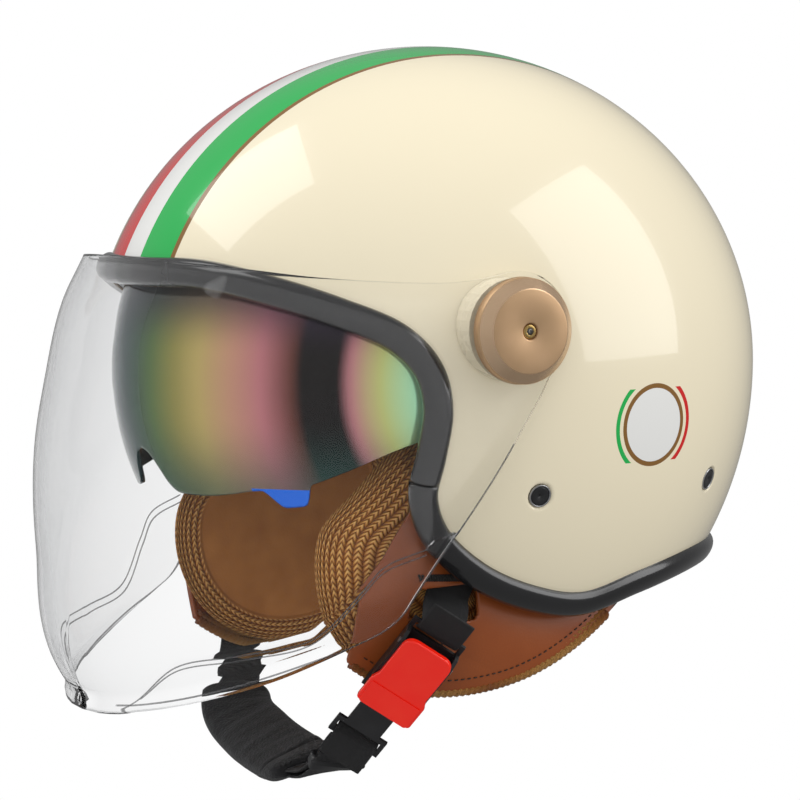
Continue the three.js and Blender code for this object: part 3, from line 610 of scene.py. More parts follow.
top = edge_directions(sun_form, SUN_TOP + ear_arc(SUN_EAR_RADIUS, 112, 0, (SUN_Y, SUN_Z)), EDGE_COUNT)
foot_ahead = [sun_form.direction_ahead(x, z) for x, z in SUN_FOOT_AHEAD]
side_points = SUN_FOOT_SIDE + ear_arc(SUN_EAR_RADIUS, -125, 0, (SUN_Y, SUN_Z))
foot_side = [sun_form.direction(y, z) for y, z in side_points]
foot = [d.normalized() for d in spline(foot_ahead + foot_side, EDGE_COUNT)]
bm = sun_form.sheet(top, foot, 260, 80)
for vertex in bm.verts:
    x, y, z = vertex.co
    if x > 0 and y < -0.04 and z < -0.045:
        pull = smooth(1.6 * (1 - abs(x - TAB_MIDDLE) / TAB_HALF)) * smooth((-0.055 - z) / 0.008)
        vertex.co += Vector((0, TAB_BACK, -TAB_DOWN)) * pull

mirror = Finish("rainbow_mirror", (0.3, 0.3, 0.3), 0.06, 0.55)
x, y, z = mirror.apart(mirror.place())
across = mirror.math("MULTIPLY_ADD", x, 0.5 / SUN_HALF, 0.5)
run = mirror.add("ShaderNodeValToRGB", _0=across)
RAINBOW = [
    (0.00, (0.020, 0.040, 0.080)), (0.32, (0.020, 0.050, 0.075)), (0.44, (0.025, 0.095, 0.100)),
    (0.50, (0.060, 0.150, 0.090)), (0.57, (0.150, 0.240, 0.075)), (0.64, (0.330, 0.300, 0.090)),
    (0.70, (0.520, 0.400, 0.150)), (0.76, (0.560, 0.300, 0.200)), (0.81, (0.500, 0.190, 0.210)),
    (0.853, (0.130, 0.045, 0.035)), (0.866, (0.010, 0.008, 0.008)), (0.908, (0.010, 0.008, 0.008)),
    (0.920, (0.500, 0.210, 0.230)), (0.946, (0.520, 0.560, 0.200)), (0.970, (0.420, 0.800, 0.520)),
]
ramp = run.color_ramp
ramp.elements[0].position, ramp.elements[0].color = RAINBOW[0][0], (*RAINBOW[0][1], 1)
ramp.elements[1].position, ramp.elements[1].color = RAINBOW[-1][0], (*RAINBOW[-1][1], 1)
for at, tint in RAINBOW[1:-1]:
    ramp.elements.new(at).color = (*tint, 1)
low, high = mirror.ease(z, -0.035, -0.075), mirror.ease(z, -0.012, 0.015)
colour = mirror.mix(mirror.math("MULTIPLY", low, 0.75), run.outputs[0], (0.030, 0.085, 0.075))
colour = mirror.mix(mirror.math("MULTIPLY", high, 0.8), colour, (0.050, 0.035, 0.065))
colour = mirror.mix(mirror.ease(x, -0.02, 0.045, 0.75, 0.0), colour, (0.006, 0.016, 0.022))
on_tab = mirror.math("MULTIPLY", mirror.math("LESS_THAN", z, -0.0665), mirror.math("GREATER_THAN", x, 0.058))
colour = mirror.mix(on_tab, colour, (0.03, 0.16, 0.75))
grain = mirror.group(surface_grain, Place=mirror.place(), Size=0.004, Mottle_Size=0.03)
faint = mirror.math("MULTIPLY", grain["Mottle"], 0.12)
mirror.set("Base Color", mirror.mix(faint, colour, (0.05, 0.05, 0.05)))
mirror.set("Roughness", mirror.math("MULTIPLY_ADD", grain["Mottle"], 0.06, 0.07))
mirror.set("Specular IOR Level", 0.1)
piece = piece_from(bm, "sun_visor_mirrored", mirror.material, "sun_visor", ["sun_lens"])
with_wall(piece, SUN_WALL)

# ----------------------------------------------------------------------------------------------------------
# The liner: the expanded foam's inner form follows the head, covered in dark fabric, with a folded edge
# that shows round the face as a soft black band. Above the brow it stands off the shell to leave room for
# the sun visor.
HEAD_HALF, HEAD_CENTRE = Vector((0.085, 0.106, 0.097)), Vector((0, 0.022, -0.022))
POCKET_HALF, POCKET_CENTRE = Vector((0.1065, 0.1145, 0.1145)), Vector((0, 0.008, -0.022))
LINER_INSET = 0.0054
LINER_SIDE = [
    (-0.098, 0.040), (-0.086, 0.034), (-0.062, 0.025), (-0.040, 0.012), (-0.022, -0.008), (-0.008, -0.022),
    (0.015, -0.030), (0.042, -0.033), (0.058, -0.046), (0.068, -0.066), (0.088, -0.076), (0.116, -0.076),
    (0.145, -0.072),
]
liner_edge = edge_loop(LINER_SIDE, 240)


def ellipsoid_reach(direction, half, centre):
    """How far an ellipsoid's surface lies from the shell's centre."""
    d = Vector([a / b for a, b in zip(direction, half)])
    o = Vector([a / b for a, b in zip(SHELL_CENTRE - centre, half)])
    b, c = d.dot(o), o.dot(o) - 1
    return (-b + math.sqrt(max(0, b * b - d.dot(d) * c))) / d.dot(d)


def liner_outer(direction):
    under_shell = shell_reach(direction, LINER_INSET)
    share = smooth((direction.z - direction.y * 0.9 + 0.25) / 0.25) * smooth((0.6 - direction.y) / 0.35)
    pocket = ellipsoid_reach(direction, POCKET_HALF, POCKET_CENTRE)
    return min(under_shell, pocket * share + under_shell * (1 - share))


def liner_place(u, v):
    """From the pole along the inside to the edge, over its rounded lip, and back along the outside."""
    if v < 0.48:
        direction, share = from_pole(liner_edge, u, v / 0.48), 0.0
    elif v < 0.54:
        turn = (v - 0.48) / 0.06
        direction, share = from_pole(liner_edge, u, 1 + 0.03 * math.sin(math.pi * turn)), smooth(turn)
    else:
        direction, share = from_pole(liner_edge, u, (1 - v) / 0.46), 1.0
    inner, outer = ellipsoid_reach(direction, HEAD_HALF, HEAD_CENTRE), liner_outer(direction)
    return SHELL_CENTRE + direction * (inner + (outer - inner) * share)


fabric = mottled("lining_fabric", (0.008, 0.008, 0.009), (0.022, 0.022, 0.024), 0.85, 0.1, 0.0012, 0.02,
                 (0.5, 0.0005), Sheen_Weight=0.2)
piece_from(grid(240, 90, liner_place), "liner_covered", fabric, "root", ["impact_liner"])

# ----------------------------------------------------------------------------------------------------------
# The braid: golden-brown straw-like cord laid in rows, each row a flat plait whose strands lean in turn to
# one side and the other. It is drawn in a node group on the UV map, so that rows follow the outline of
# whatever they cover.
build, given, out = new_group("braid", ["Rows", "Strands"], ["Height", "Strand", "Row"])
u, v, _ = build.apart(given["Place"])
row = build.math("MULTIPLY", v, given["Rows"])
in_row = build.math("FRACT", row)
row_round = build.math("SINE", build.math("MULTIPLY", in_row, math.pi))
lean = build.math("PINGPONG", build.math("MULTIPLY", row, 2.0), 1.0)
strand = build.math("MULTIPLY_ADD", lean, 0.9, build.math("MULTIPLY", u, given["Strands"]))
strand = build.math("FRACT", strand)
strand_round = build.math("SINE", build.math("MULTIPLY", strand, math.pi))
height = build.math("MULTIPLY", build.math("POWER", row_round, 0.5), build.math("POWER", strand_round, 0.6))
fibres = build.add("ShaderNodeTexNoise", Vector=given["Place"], Scale=900.0, Detail=2.0)
build.tree.links.new(height, out["Height"])
build.tree.links.new(build.math("MULTIPLY", strand_round, fibres.outputs[0]), out["Strand"])
build.tree.links.new(row_round, out["Row"])
braid = build.tree

# Braid colours: a dark tone, which also serves as painted shade in the plait's hollows; the cord's mid
# colour; and a painted highlight for the crests.
BRAID_DARK_TONE_AND_GROOVE_SHADE, MID_BRAID, BRAID_PAINTED_HIGHLIGHT = (0.16, 0.040, 0.006), (0.78, 0.29, 0.040), (1.0, 0.66, 0.22)


def braid_finish(name, rows, strands, suede_edge=0.0, red=0.0):
    """Braid all over, or as far in as suede_edge on the map's second axis, with brushed suede inside that."""
    made = Finish(name, MID_BRAID, 0.5)
    uv = made.add("ShaderNodeUVMap", {"uv_map": "UVMap"}).outputs[0]
    plait = made.group(braid, Place=uv, Rows=rows, Strands=strands)
    grain = made.group(surface_grain, Place=made.place(), Size=0.0009, Mottle_Size=0.012)
    # Painted shade: the colour darkens from the mid colour towards the dark tone in the low parts of the
    # plait, between strands and rows.
    colour = made.mix(plait["Height"], BRAID_DARK_TONE_AND_GROOVE_SHADE, made.mix(red, MID_BRAID, (0.33, 0.085, 0.018)))
    # Painted highlight: a bright glint on the crests of the strands, pinker where the braid is made redder.
    highlight_crests = made.math("POWER", plait["Height"], 3.0)
    painted_glint = made.math("MULTIPLY", highlight_crests, made.math("MULTIPLY", plait["Strand"], 1.5))
    colour = made.mix(painted_glint, colour, made.mix(red, BRAID_PAINTED_HIGHLIGHT, (0.62, 0.30, 0.16)))
    colour = made.mix(made.math("MULTIPLY", grain["Mottle"], 0.35), colour, BRAID_DARK_TONE_AND_GROOVE_SHADE)
    height, rough = plait["Height"], made.math("MULTIPLY_ADD", plait["Height"], -0.25, 0.62)
    if suede_edge:
        inside = made.math("LESS_THAN", made.apart(uv)[1], suede_edge)
        nap = made.mix(grain["Mottle"], (0.34, 0.115, 0.020), (0.58, 0.235, 0.055))
        colour = made.mix(inside, colour, nap)
        height = made.mix_numbers(inside, height, made.math("MULTIPLY", grain["Grain"], 0.15))
        rough = made.mix_numbers(inside, rough, 0.95)
    made.set("Base Color", colour)
    made.set("Roughness", rough)
    made.bump(height, 0.8, 0.0009)
    return made


# ----------------------------------------------------------------------------------------------------------
# The ear skirts: smooth orange-brown leather that hangs below the shell at each side, bowed out a little,
# with a cut for the chin strap, a bar of black buttonhole stitches above it, a seam down from the edge, and
# braided piping.
SKIRT_FRONT, SKIRT_BACK, SKIRT_THICK = -0.049, 0.080, 0.0024
SLOT_Y, SLOT_Z, SLOT_LONG, SLOT_HIGH = -0.014, -0.1145, 0.030, 0.015


def rim_z(y):
    return -0.119 + 0.0165 * ((y - 0.05) / 0.053) ** 2


def skirt_top(y):
    return min(rim_z(y) + 0.009, -0.080 + 1.7 * (y + 0.032))


def skirt_bottom(y):
    return -0.153 + 13 * (y + 0.008) ** 2 * (0.7 if y < -0.008 else 0.35)


def skirt_x(y, z):
    at = max(y, -0.026)
    edge = rim_z(at)
    below = max(0.0, (edge - z) / 0.034)
    hang = 0.004 * math.sin(min(below, 1) * 0.6 * math.pi) - 0.006 * below * below
    return shell_x(at, edge) - 0.0105 - 0.4 * (at - y) + hang


def skirt_normal(y, z):
    step = 0.002
    dy = (skirt_x(y + step, z) - skirt_x(y - step, z)) / (2 * step)
    dz = (skirt_x(y, z + step) - skirt_x(y, z - step)) / (2 * step)
    return Vector((1, -dy, -dz)).normalized()


def on_skirt(side, y, z, out=0.0):
    place = Vector((skirt_x(y, z), y, z)) + skirt_normal(y, z) * out
    place.x *= side
    return place


def slot_reach(y, z):
    """How far outside the rounded slot a place is; less than nothing inside it."""
    corner = 0.003
    dy, dz = abs(y - SLOT_Y) - SLOT_LONG / 2 + corner, abs(z - SLOT_Z) - SLOT_HIGH / 2 + corner
    return math.hypot(max(dy, 0), max(dz, 0)) + min(max(dy, dz), 0) - corner


leather = Finish("skirt_leather", (0.33, 0.085, 0.012), 0.33)
grain = leather.group(surface_grain, Place=leather.place(), Size=0.0011, Mottle_Size=0.03)
x, y, z = leather.apart(leather.place())
dark_end = leather.ease(y, 0.071, 0.076)
tan = leather.mix(grain["Mottle"], (0.21, 0.042, 0.008), (0.34, 0.085, 0.015))
leather.set("Base Color", leather.mix(dark_end, tan, (0.010, 0.009, 0.009)))
leather.set("Roughness", leather.math("MULTIPLY_ADD", grain["Mottle"], 0.2, 0.24))
leather.bump(grain["Grain"], 0.25, 0.00025)
thread = mottled("black_thread", (0.006, 0.006, 0.006), (0.03, 0.026, 0.024), 0.6, 0.0, 0.0004, 0.004,
                 (0.5, 0.0002))
piping = braid_finish("piping_braid", 2.0, 70.0)


def tube(line, radius, around, lobes=0, twist=0.0, depth=0.0):
    """A closed tube along a line of points, which may be lobed and twisted like a rope."""
    frames = []
    last = Vector((0.3, 0.2, 1)).normalized()
    for i, point in enumerate(line):
        along = (line[min(i + 1, len(line) - 1)] - line[max(i - 1, 0)]).normalized()
        last = (last - along * last.dot(along)).normalized()
        frames.append((point, last, along.cross(last)))

    def place(u, v):
        point, a, b = frames[round(v * (len(line) - 1))]
        angle = 2 * math.pi * u
        reach = radius * (1 + depth * math.cos(lobes * angle + twist * v))
        return point + a * reach * math.cos(angle) + b * reach * math.sin(angle)

    return capped(grid(around, len(line) - 1, place))


for word, side in SIDES.items():

    def place(u, v):
        y = SKIRT_FRONT + (SKIRT_BACK - SKIRT_FRONT) * u
        low, high = skirt_bottom(y), skirt_top(y)
        z = low + max(high - low, 0.001) * v
        off = slot_reach(y, z)
        if abs(off) < 0.0006:
            step = 0.0003
            dy = slot_reach(y + step, z) - slot_reach(y - step, z)
            dz = slot_reach(y, z + step) - slot_reach(y, z - step)
            y, z = y - dy / (2 * step) * off, z - dz / (2 * step) * off
        return on_skirt(side, y, z)

    bm = grid(150, 90, place)
    inside = [f for f in bm.faces if slot_reach(*f.calc_center_median()[1:]) < -0.0002]
    bmesh.ops.delete(bm, geom=inside, context="FACES")
    if next(iter(bm.faces)).normal.x * side < 0:
        bmesh.ops.reverse_faces(bm, faces=bm.faces)
    piece = piece_from(bm, f"skirt_{word}", leather.material, "root", [f"ear_skirt_{word}"])
    with_wall(piece, SKIRT_THICK, 1.0)

    hem = [on_skirt(side, y, skirt_bottom(y) + 0.0002, 0.0012) for y in
           [SKIRT_FRONT + 0.002 + (SKIRT_BACK - 0.012 - SKIRT_FRONT) * i / 240 for i in range(241)]]
    cords = [tube(hem, 0.0021, 14, lobes=2, twist=300.0, depth=0.16)]
    upper_hem = [p + Vector((0, 0, 0.0034)) for p in hem]
    cords.append(tube(upper_hem, 0.0013, 12, lobes=2, twist=-300.0, depth=0.16))
    piece_from(joined(cords), f"skirt_piping_{word}", piping.material, "root")

    stitches = []
    for i in range(25):
        y = SLOT_Y + 0.001 + 0.028 * (i / 24 - 0.5)
        z = SLOT_Z + 0.0108 - 0.10 * (y - SLOT_Y)
        spots = [
            (0, 0.0013, 0.0016), (0, 0.0009, 0.0032), (0.0006, -0.0009, 0.0032), (0.0006, -0.0013, 0.0016),
        ]
        stitches.append(tube([on_skirt(side, y + a, z + b, o) for a, b, o in spots], 0.00055, 8))
    for row in range(2):
        for i in range(14):
            z = skirt_bottom(SLOT_Y) + 0.004 + 0.0033 * i
            if z > SLOT_Z - SLOT_HIGH / 2 - 0.002:
                continue
            y = SLOT_Y - 0.002 + 0.0022 * row
            spots = [(z, 0.0020), (z + 0.0005, 0.0027), (z + 0.0017, 0.0027), (z + 0.0022, 0.0020)]
            stitches.append(tube([on_skirt(side, y, at, o) for at, o in spots], 0.00028, 6))
    for i in range(46):
        y = SKIRT_FRONT + 0.006 + 0.0027 * i
        spots = [(y, 0.0020), (y + 0.0004, 0.0027), (y + 0.0013, 0.0027), (y + 0.0017, 0.0020)]
        stitches.append(tube([on_skirt(side, a, skirt_bottom(a) + 0.0062, o) for a, o in spots], 0.00026, 6))
    piece_from(joined(stitches), f"skirt_stitching_{word}", thread, "root")

# ----------------------------------------------------------------------------------------------------------
# The cheek pads: firm cushions inside the skirts. Rows of braid run round each one, raised row by row, and
# the middle of the side towards the face is a flat panel of brushed suede.
CHEEK_OUTLINE = [
    (-0.024, -0.050), (-0.044, -0.069), (-0.058, -0.084), (-0.061, -0.100), (-0.056, -0.122),
    (-0.042, -0.139), (-0.020, -0.149), (0.008, -0.149), (0.032, -0.138), (0.044, -0.115), (0.048, -0.080),
    (0.038, -0.050), (0.008, -0.040),
]
CHEEK_INNER, CHEEK_MIDDLE_X, CHEEK_CLEAR = 0.064, 0.078, 0.0062
CHEEK_MIDDLE = Vector((-0.006, -0.100))
CHEEK_ROWS, CHEEK_RISE, SUEDE_EDGE = 26, 0.0011, 0.255
outline = [Vector((p.x, p.y)) for p in spline([(y, z, 0) for y, z in CHEEK_OUTLINE], 360, closed=True)]
straw = braid_finish("cheek_braid", float(CHEEK_ROWS), 110.0, SUEDE_EDGE)


def cheek_place(side, u, v):
    """v runs from the middle of the face side, over the edge at 0.5, to the middle of the skirt side."""
    over, around = rounded(math.pi * v, 0.8, 0.62)
    at = u * len(outline)
    i = int(at)
    edge = outline[i % len(outline)].lerp(outline[(i + 1) % len(outline)], at - i)
    y, z = CHEEK_MIDDLE + (edge - CHEEK_MIDDLE) * around
    outer = skirt_x(min(y, SKIRT_BACK), z) - CHEEK_CLEAR
    half = max(0.004, (outer - CHEEK_INNER) / 2)
    sink = 0.0012 * smooth((SUEDE_EDGE - v) / 0.02)
    return Vector((side * (CHEEK_INNER + half - (half - sink) * over), y, z))


for word, side in SIDES.items():

    def place(u, v):
        point = cheek_place(side, u, v)
        if v < SUEDE_EDGE or v > 0.97:
            return point
        beside, beyond = cheek_place(side, (u + 0.002) % 1, v), cheek_place(side, u, v + 0.004)
        normal = (beside - point).cross(beyond - point)
        if normal.length < 1e-12:
            return point
        normal.normalize()
        outward = point - Vector((side * CHEEK_MIDDLE_X, *CHEEK_MIDDLE))
        normal = normal if normal.dot(outward) > 0 else -normal
        ridge = abs(math.sin(math.pi * CHEEK_ROWS * v)) ** 0.7
        return point + normal * CHEEK_RISE * (ridge - 0.9) * smooth((v - SUEDE_EDGE) / 0.01)

    piece = piece_from(grid(260, 260, place), f"cheek_pad_braided_{word}", straw.material, "root",
                       [f"cheek_pad_{word}"])

# ----------------------------------------------------------------------------------------------------------
# The crown pad rests on the top of the head: quilted dark suede with a flat middle. The neck roll is a long
# cushion of the same braid, inside the shell's lower edge round the nape.
CROWN_HALF_X, CROWN_HALF_Y, CROWN_REACH, CROWN_DROP = 0.0824, 0.1034, 0.6, 0.009
CROWN_FLAT, CROWN_FLAT_Z, CROWN_Z, QUILT_RISE = 0.2, 0.061492, 0.0944, 0.0016


def crown_place(u, v):
    """From the middle below, out to the rim, and back over the top."""
    share = CROWN_REACH * math.sin(math.pi * v) ** 0.8
    top = HEAD_CENTRE.z + CROWN_Z * math.sqrt(1 - share * share)
    z = top - CROWN_DROP * smooth((0.62 - v) / 0.24)
    if v < 0.5:
        quilt = QUILT_RISE * (math.sin(34 * share) * math.sin(8 * math.pi * u)) ** 2
        z = CROWN_FLAT_Z if share < CROWN_FLAT else z + quilt
    return Vector((CROWN_HALF_X * share * math.cos(2 * math.pi * u),
                   HEAD_CENTRE.y + CROWN_HALF_Y * share * math.sin(2 * math.pi * u), z))


suede = mottled("crown_suede", (0.07, 0.028, 0.008), (0.17, 0.08, 0.026), 0.88, 0.08, bump=(0.5, 0.0004))
piece = piece_from(grid(120, 70, crown_place), "crown_pad_quilted", suede, "root", ["crown_pad"])

ROLL_INWARD, ROLL_UP, ROLL_THICK, ROLL_TALL = 0.017, 0.008, 0.0086, 0.0076
roll_start = next(i for i, p in enumerate(rim) if p.x > 0 and p.y > 0.062)


def roll_place(u, v):
    here, normal, past = rim_frame(roll_start + (RIM_STEPS - 2 * roll_start) * v)
    taper = (1 - abs(2 * v - 1) ** 40) ** 0.5
    angle = 2 * math.pi * u
    ridge = 0.94 + 0.06 * abs(math.sin(4 * angle)) ** 0.7
    return (here + normal * (math.cos(angle) * ROLL_THICK * taper * ridge - ROLL_INWARD)
            + past * (math.sin(angle) * ROLL_TALL * taper * ridge - ROLL_UP))


roll_braid = braid_finish("roll_braid", 60.0, 8.0, 0.0, 0.4)
bm = grid(64, 300, roll_place)
piece = piece_from(bm, "neck_roll_padded", roll_braid.material, "root", ["neck_roll"])

# ----------------------------------------------------------------------------------------------------------
# Small metal and plastic finishes, and a way to turn a profile about an axis. A profile is a list of places
# (along the axis, radius), walked round the cut section, for the +X side; the other side is its mirror
# image.
def turned(profile, steps, side, middle=Vector((0, 0, 0)), axis=Vector((1, 0, 0))):
    a = axis.cross(Vector((0, 0, 1))).normalized()
    b = axis.cross(a)
    corners = profile + profile[:1]

    def place(u, v):
        at = v * (len(corners) - 1)
        i = min(int(at + 1e-6), len(corners) - 2)
        along, radius = [p + (q - p) * (at - i) for p, q in zip(corners[i], corners[i + 1])]
        angle = 2 * math.pi * u
        spot = middle + axis * along + (a * math.cos(angle) + b * math.sin(angle)) * radius
        return Vector((side * spot.x, spot.y, spot.z))

    return grid(steps, len(corners) - 1, place)


plate_paint = mottled("plate_paint", (0.80, 0.72, 0.54), (0.86, 0.78, 0.60), 0.2, 0.15, Coat_Weight=0.3)
black_plastic = mottled("satin_black", (0.010, 0.010, 0.011), (0.022, 0.022, 0.024), 0.28, 0.2)
steel = mottled("plain_steel", (0.42, 0.42, 0.43), (0.55, 0.55, 0.56), 0.24, 0.2, metal=1.0)
dark_steel = mottled("dark_steel", (0.12, 0.115, 0.11), (0.2, 0.19, 0.18), 0.25, 0.2, metal=1.0)
brass = mottled("turned_brass", (0.52, 0.34, 0.11), (0.66, 0.47, 0.20), 0.22, 0.15, metal=1.0)
rose = mottled("rose_bronze", (0.58, 0.37, 0.20), (0.66, 0.43, 0.25), 0.36, 0.1, 0.0004, metal=0.7)
rose_bright = mottled("rose_bevel", (0.74, 0.50, 0.31), (0.85, 0.61, 0.40), 0.2, 0.08, 0.0004, metal=0.85)


def dressed(node_name, material, bevel=0.0):
    """A CAD node shown as it is, with a finish and softened edges."""
    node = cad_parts[node_name]
    node.data.materials.clear()
    node.data.materials.append(material)
    if bevel:
        soft = node.modifiers.new("soft_edges", "BEVEL")
        soft.width = bevel
        soft.segments = 2
        soft.limit_method = "ANGLE"
        soft.angle_limit = math.radians(40)
        soft.harden_normals = True
    return node


# ----------------------------------------------------------------------------------------------------------
# The side pivots: a cream base plate, wave washer and bush, then a rose-bronze knob with a bright bevel, a
# flat matt face and a brass hexagon screw in its counterbore. Behind them sit the nut, the sun visor's
# bracket and its screw.
ON_AXIS = 0.00001
KNOB_BEVEL_FROM, KNOB_BEVEL_TO, KNOB_BEVEL_X = 0.0172, 0.0214, 0.1372
KNOB_PROFILE = [
    (0.1332, 0.0045), (0.1332, 0.0210), (0.1334, 0.0214), (0.1338, 0.0216), (0.1364, 0.0216),
    (0.1368, 0.0215), (0.1371, 0.0212), (0.1408, 0.01745), (0.1411, 0.0171), (0.1412, 0.0167),
    (0.1412, 0.0120), (0.1412, 0.0040), (0.1411, 0.0036), (0.1408, 0.0034), (0.1400, 0.0033),
    (0.1398, 0.0033), (0.1398, 0.0031),
]
for word, side in SIDES.items():
    bm = turned(KNOB_PROFILE, 128, side)
    piece = piece_from(bm, f"knob_turned_{word}", rose, "root", [f"knob_{word}"])
    piece.data.materials.append(rose_bright)
    for face in piece.data.polygons:
        middle = face.center
        radius = math.hypot(middle.y, middle.z)
        on_bevel = KNOB_BEVEL_FROM < radius < KNOB_BEVEL_TO and abs(middle.x) > KNOB_BEVEL_X
        face.material_index = int(on_bevel)
    groove = [
        (0.13325, 0.0218), (0.1326, 0.0216), (0.1320, 0.0205), (0.1316, 0.0190), (0.1316, 0.0100),
        (0.13325, 0.0100),
    ]
    piece_from(turned(groove, 96, side), f"knob_seat_{word}", rose, "root")
    dressed(f"pivot_plate_{word}", plate_paint, 0.0004)
    dressed(f"wave_washer_{word}", steel)
    dressed(f"pivot_bush_{word}", brass)
    head = [
        (0.1385, ON_AXIS), (0.1385, 0.0030), (0.1402, 0.0030), (0.1405, 0.0027), (0.1406, 0.0024),
        (0.1406, ON_AXIS),
    ]
    shank = [(0.1098, ON_AXIS), (0.1098, 0.0027), (0.1101, 0.0030), (0.1385, 0.0030), (0.1385, ON_AXIS)]
    screw = joined([turned(head, 48, side), turned(shank, 32, side)])
    piece_from(screw, f"knob_screw_turned_{word}", brass, "root", [f"knob_screw_{word}"])
    socket = [(0.1400, ON_AXIS), (0.1400, 0.0016), (0.14066, 0.0016), (0.14066, ON_AXIS)]
    piece_from(turned(socket, 6, side), f"knob_socket_{word}", dark_steel, "root")
    dressed(f"pivot_nut_{word}", steel, 0.0003)
    dressed(f"sun_bracket_{word}", black_plastic, 0.0003)
    dressed(f"sun_pivot_screw_{word}", steel, 0.0003)

# ----------------------------------------------------------------------------------------------------------
# The rivets: flat black heads sunk in the shell's dimples, each inside a thin bright ring. The washers of
# the strap's anchors lie behind the front ones.
RIVET_HEAD, RIVET_TOP, RIVET_FOOT = 0.0041, -0.0002, -0.0018


def on_shell_axis(y, z, side, profile):
    """A profile of (out, radius) turned round the shell's normal at a place in side view."""
    point = Vector((shell_x(y, z), y, z))
    return turned(profile, 48, side, point, shell_normal(point))


HEAD_PROFILE = [
    (RIVET_FOOT, ON_AXIS), (RIVET_FOOT, RIVET_HEAD), (RIVET_TOP - 0.0004, RIVET_HEAD),
    (RIVET_TOP - 0.0001, RIVET_HEAD - 0.0003), (RIVET_TOP, RIVET_HEAD - 0.0008), (RIVET_TOP, 0.0016),
    (RIVET_TOP - 0.0003, 0.0012), (RIVET_TOP - 0.0003, ON_AXIS),
]
RING_PROFILE = [
    (-0.0016, 0.0042), (-0.0003, 0.0042), (-0.0001, 0.0044), (-0.0001, 0.0047), (-0.0003, 0.0049),
    (-0.0016, 0.0049),
]
for end, (y, z) in RIVETS.items():
    for word, side in SIDES.items():
        bm = on_shell_axis(y, z, side, HEAD_PROFILE)
        name = f"{end}_{word}"
        piece_from(bm, f"rivet_{name}", black_plastic, "root", [f"strap_rivet_{name}"])
        piece_from(on_shell_axis(y, z, side, RING_PROFILE), f"rivet_ring_{name}", steel, "root")
for word in SIDES:
    dressed(f"strap_anchor_{word}", steel, 0.0002)

# ----------------------------------------------------------------------------------------------------------
# The chin strap: ribbed black webbing, 20 mm wide. The left length runs from its anchor out through the
# skirt to the buckle. The right length runs out through its skirt and under the chin to the buckle's
# toothed tongue.
BUCKLE_MIDDLE = Vector((0.0915, -0.0266, -0.139))
BUCKLE_ALONG = Vector((0.647, 0.249, 0.72)).normalized()
BUCKLE_OUT = Vector((0.88, -0.42, -0.10))
BUCKLE_OUT = (BUCKLE_OUT - BUCKLE_ALONG * BUCKLE_OUT.dot(BUCKLE_ALONG)).normalized()
BUCKLE_ACROSS = BUCKLE_ALONG.cross(BUCKLE_OUT)
STRAP_WIDE, STRAP_THICK, RIBS = 0.0196, 0.0015, 9


def in_buckle(x, y, z):
    return BUCKLE_MIDDLE + BUCKLE_ACROSS * x + BUCKLE_ALONG * y + BUCKLE_OUT * z


def by_skirt(side, out, y, z):
    slope = (skirt_x(y + 0.006, z) - skirt_x(y - 0.006, z)) / 0.012
    return (Vector((side * (skirt_x(y, z) + out), y, z)), Vector((side * slope, 1, 0)))


def from_anchor(side):
    return [
        (Vector((side * 0.1055, 0.015, -0.077)), Vector((0, 1, 0.1))),
        by_skirt(side, -0.0029, 0.005, -0.091), by_skirt(side, -0.0027, -0.004, -0.101),
        by_skirt(side, -0.0019, -0.011, -0.109), by_skirt(side, 0.0012, SLOT_Y, SLOT_Z),
    ]


class Band:
    """A flat band that follows stations of (place, width's direction), and can be drawn in part."""

    def __init__(self, stations, count=400):
        self.line = spline([at for at, _ in stations], count)
        wides = [w.normalized() for _, w in stations]
        spots = [min(range(count), key=lambda i: (self.line[i] - at).length) for at, _ in stations]
        self.frames = []
        for i, point in enumerate(self.line):
            k = max(j for j in range(len(spots)) if spots[j] <= i) if i >= spots[0] else 0
            k = min(k, len(spots) - 2)
            wide = wides[k].lerp(wides[k + 1], smooth((i - spots[k]) / max(1, spots[k + 1] - spots[k])))
            along = (self.line[min(i + 1, count - 1)] - self.line[max(i - 1, 0)]).normalized()
            wide = (wide - along * wide.dot(along)).normalized()
            self.frames.append((point, wide, along.cross(wide)))

    def at(self, share):
        spot = share * (len(self.frames) - 1)
        i = min(int(spot), len(self.frames) - 2)
        (p, w, n), (p2, w2, n2) = self.frames[i], self.frames[i + 1]
        t = spot - i
        return p.lerp(p2, t), w.lerp(w2, t).normalized(), n.lerp(n2, t).normalized()

    def draw(self, start, end, steps, section, around=64):
        def place(u, v):
            point, wide, normal = self.at(start + (end - start) * v)
            across, up = section(u, v)
            return point + wide * across + normal * up

        return capped(grid(around, steps, place))


def webbing_section(u, v):
    across, up = rounded(2 * math.pi * u, 0.35, 0.5)
    rib = 0.86 + 0.14 * abs(math.cos(math.pi * RIBS * across / 2))
    return across * STRAP_WIDE / 2, up * rib * STRAP_THICK / 2


webbing = Finish("black_webbing", (0.008, 0.008, 0.009), 0.7)
u, v, _ = webbing.apart(webbing.add("ShaderNodeUVMap", {"uv_map": "UVMap"}).outputs[0])
grain = webbing.group(surface_grain, Place=webbing.place(), Size=0.0007, Mottle_Size=0.01)
cross = webbing.math("SINE", webbing.math("MULTIPLY", v, 1100.0))
ribs = webbing.math("SINE", webbing.math("MULTIPLY", u, 230.0))
weave = webbing.math("MULTIPLY", webbing.math("ADD", cross, 1.0), 0.5)
webbing.set("Base Color", webbing.mix(weave, (0.005, 0.005, 0.006), (0.026, 0.026, 0.028)))
webbing.set("Roughness", webbing.math("MULTIPLY_ADD", grain["Mottle"], 0.2, 0.55))
webbing.set("Sheen Weight", 0.04)
webbing.bump(webbing.math("ADD", weave, webbing.math("MULTIPLY", ribs, 0.25)), 0.7, 0.0004)

def by_buckle(places):
    """Stations on the buckle's middle line, from places (along, out)."""
    return [(in_buckle(0, y, z), BUCKLE_ACROSS) for y, z in places]


left_band = Band(from_anchor(1) + by_buckle([(0.0226, 0.0014)]), 200)
bm = left_band.draw(0, 1, 160, webbing_section)
piece_from(bm, "webbing_left", webbing.material, "root", ["strap_left"])
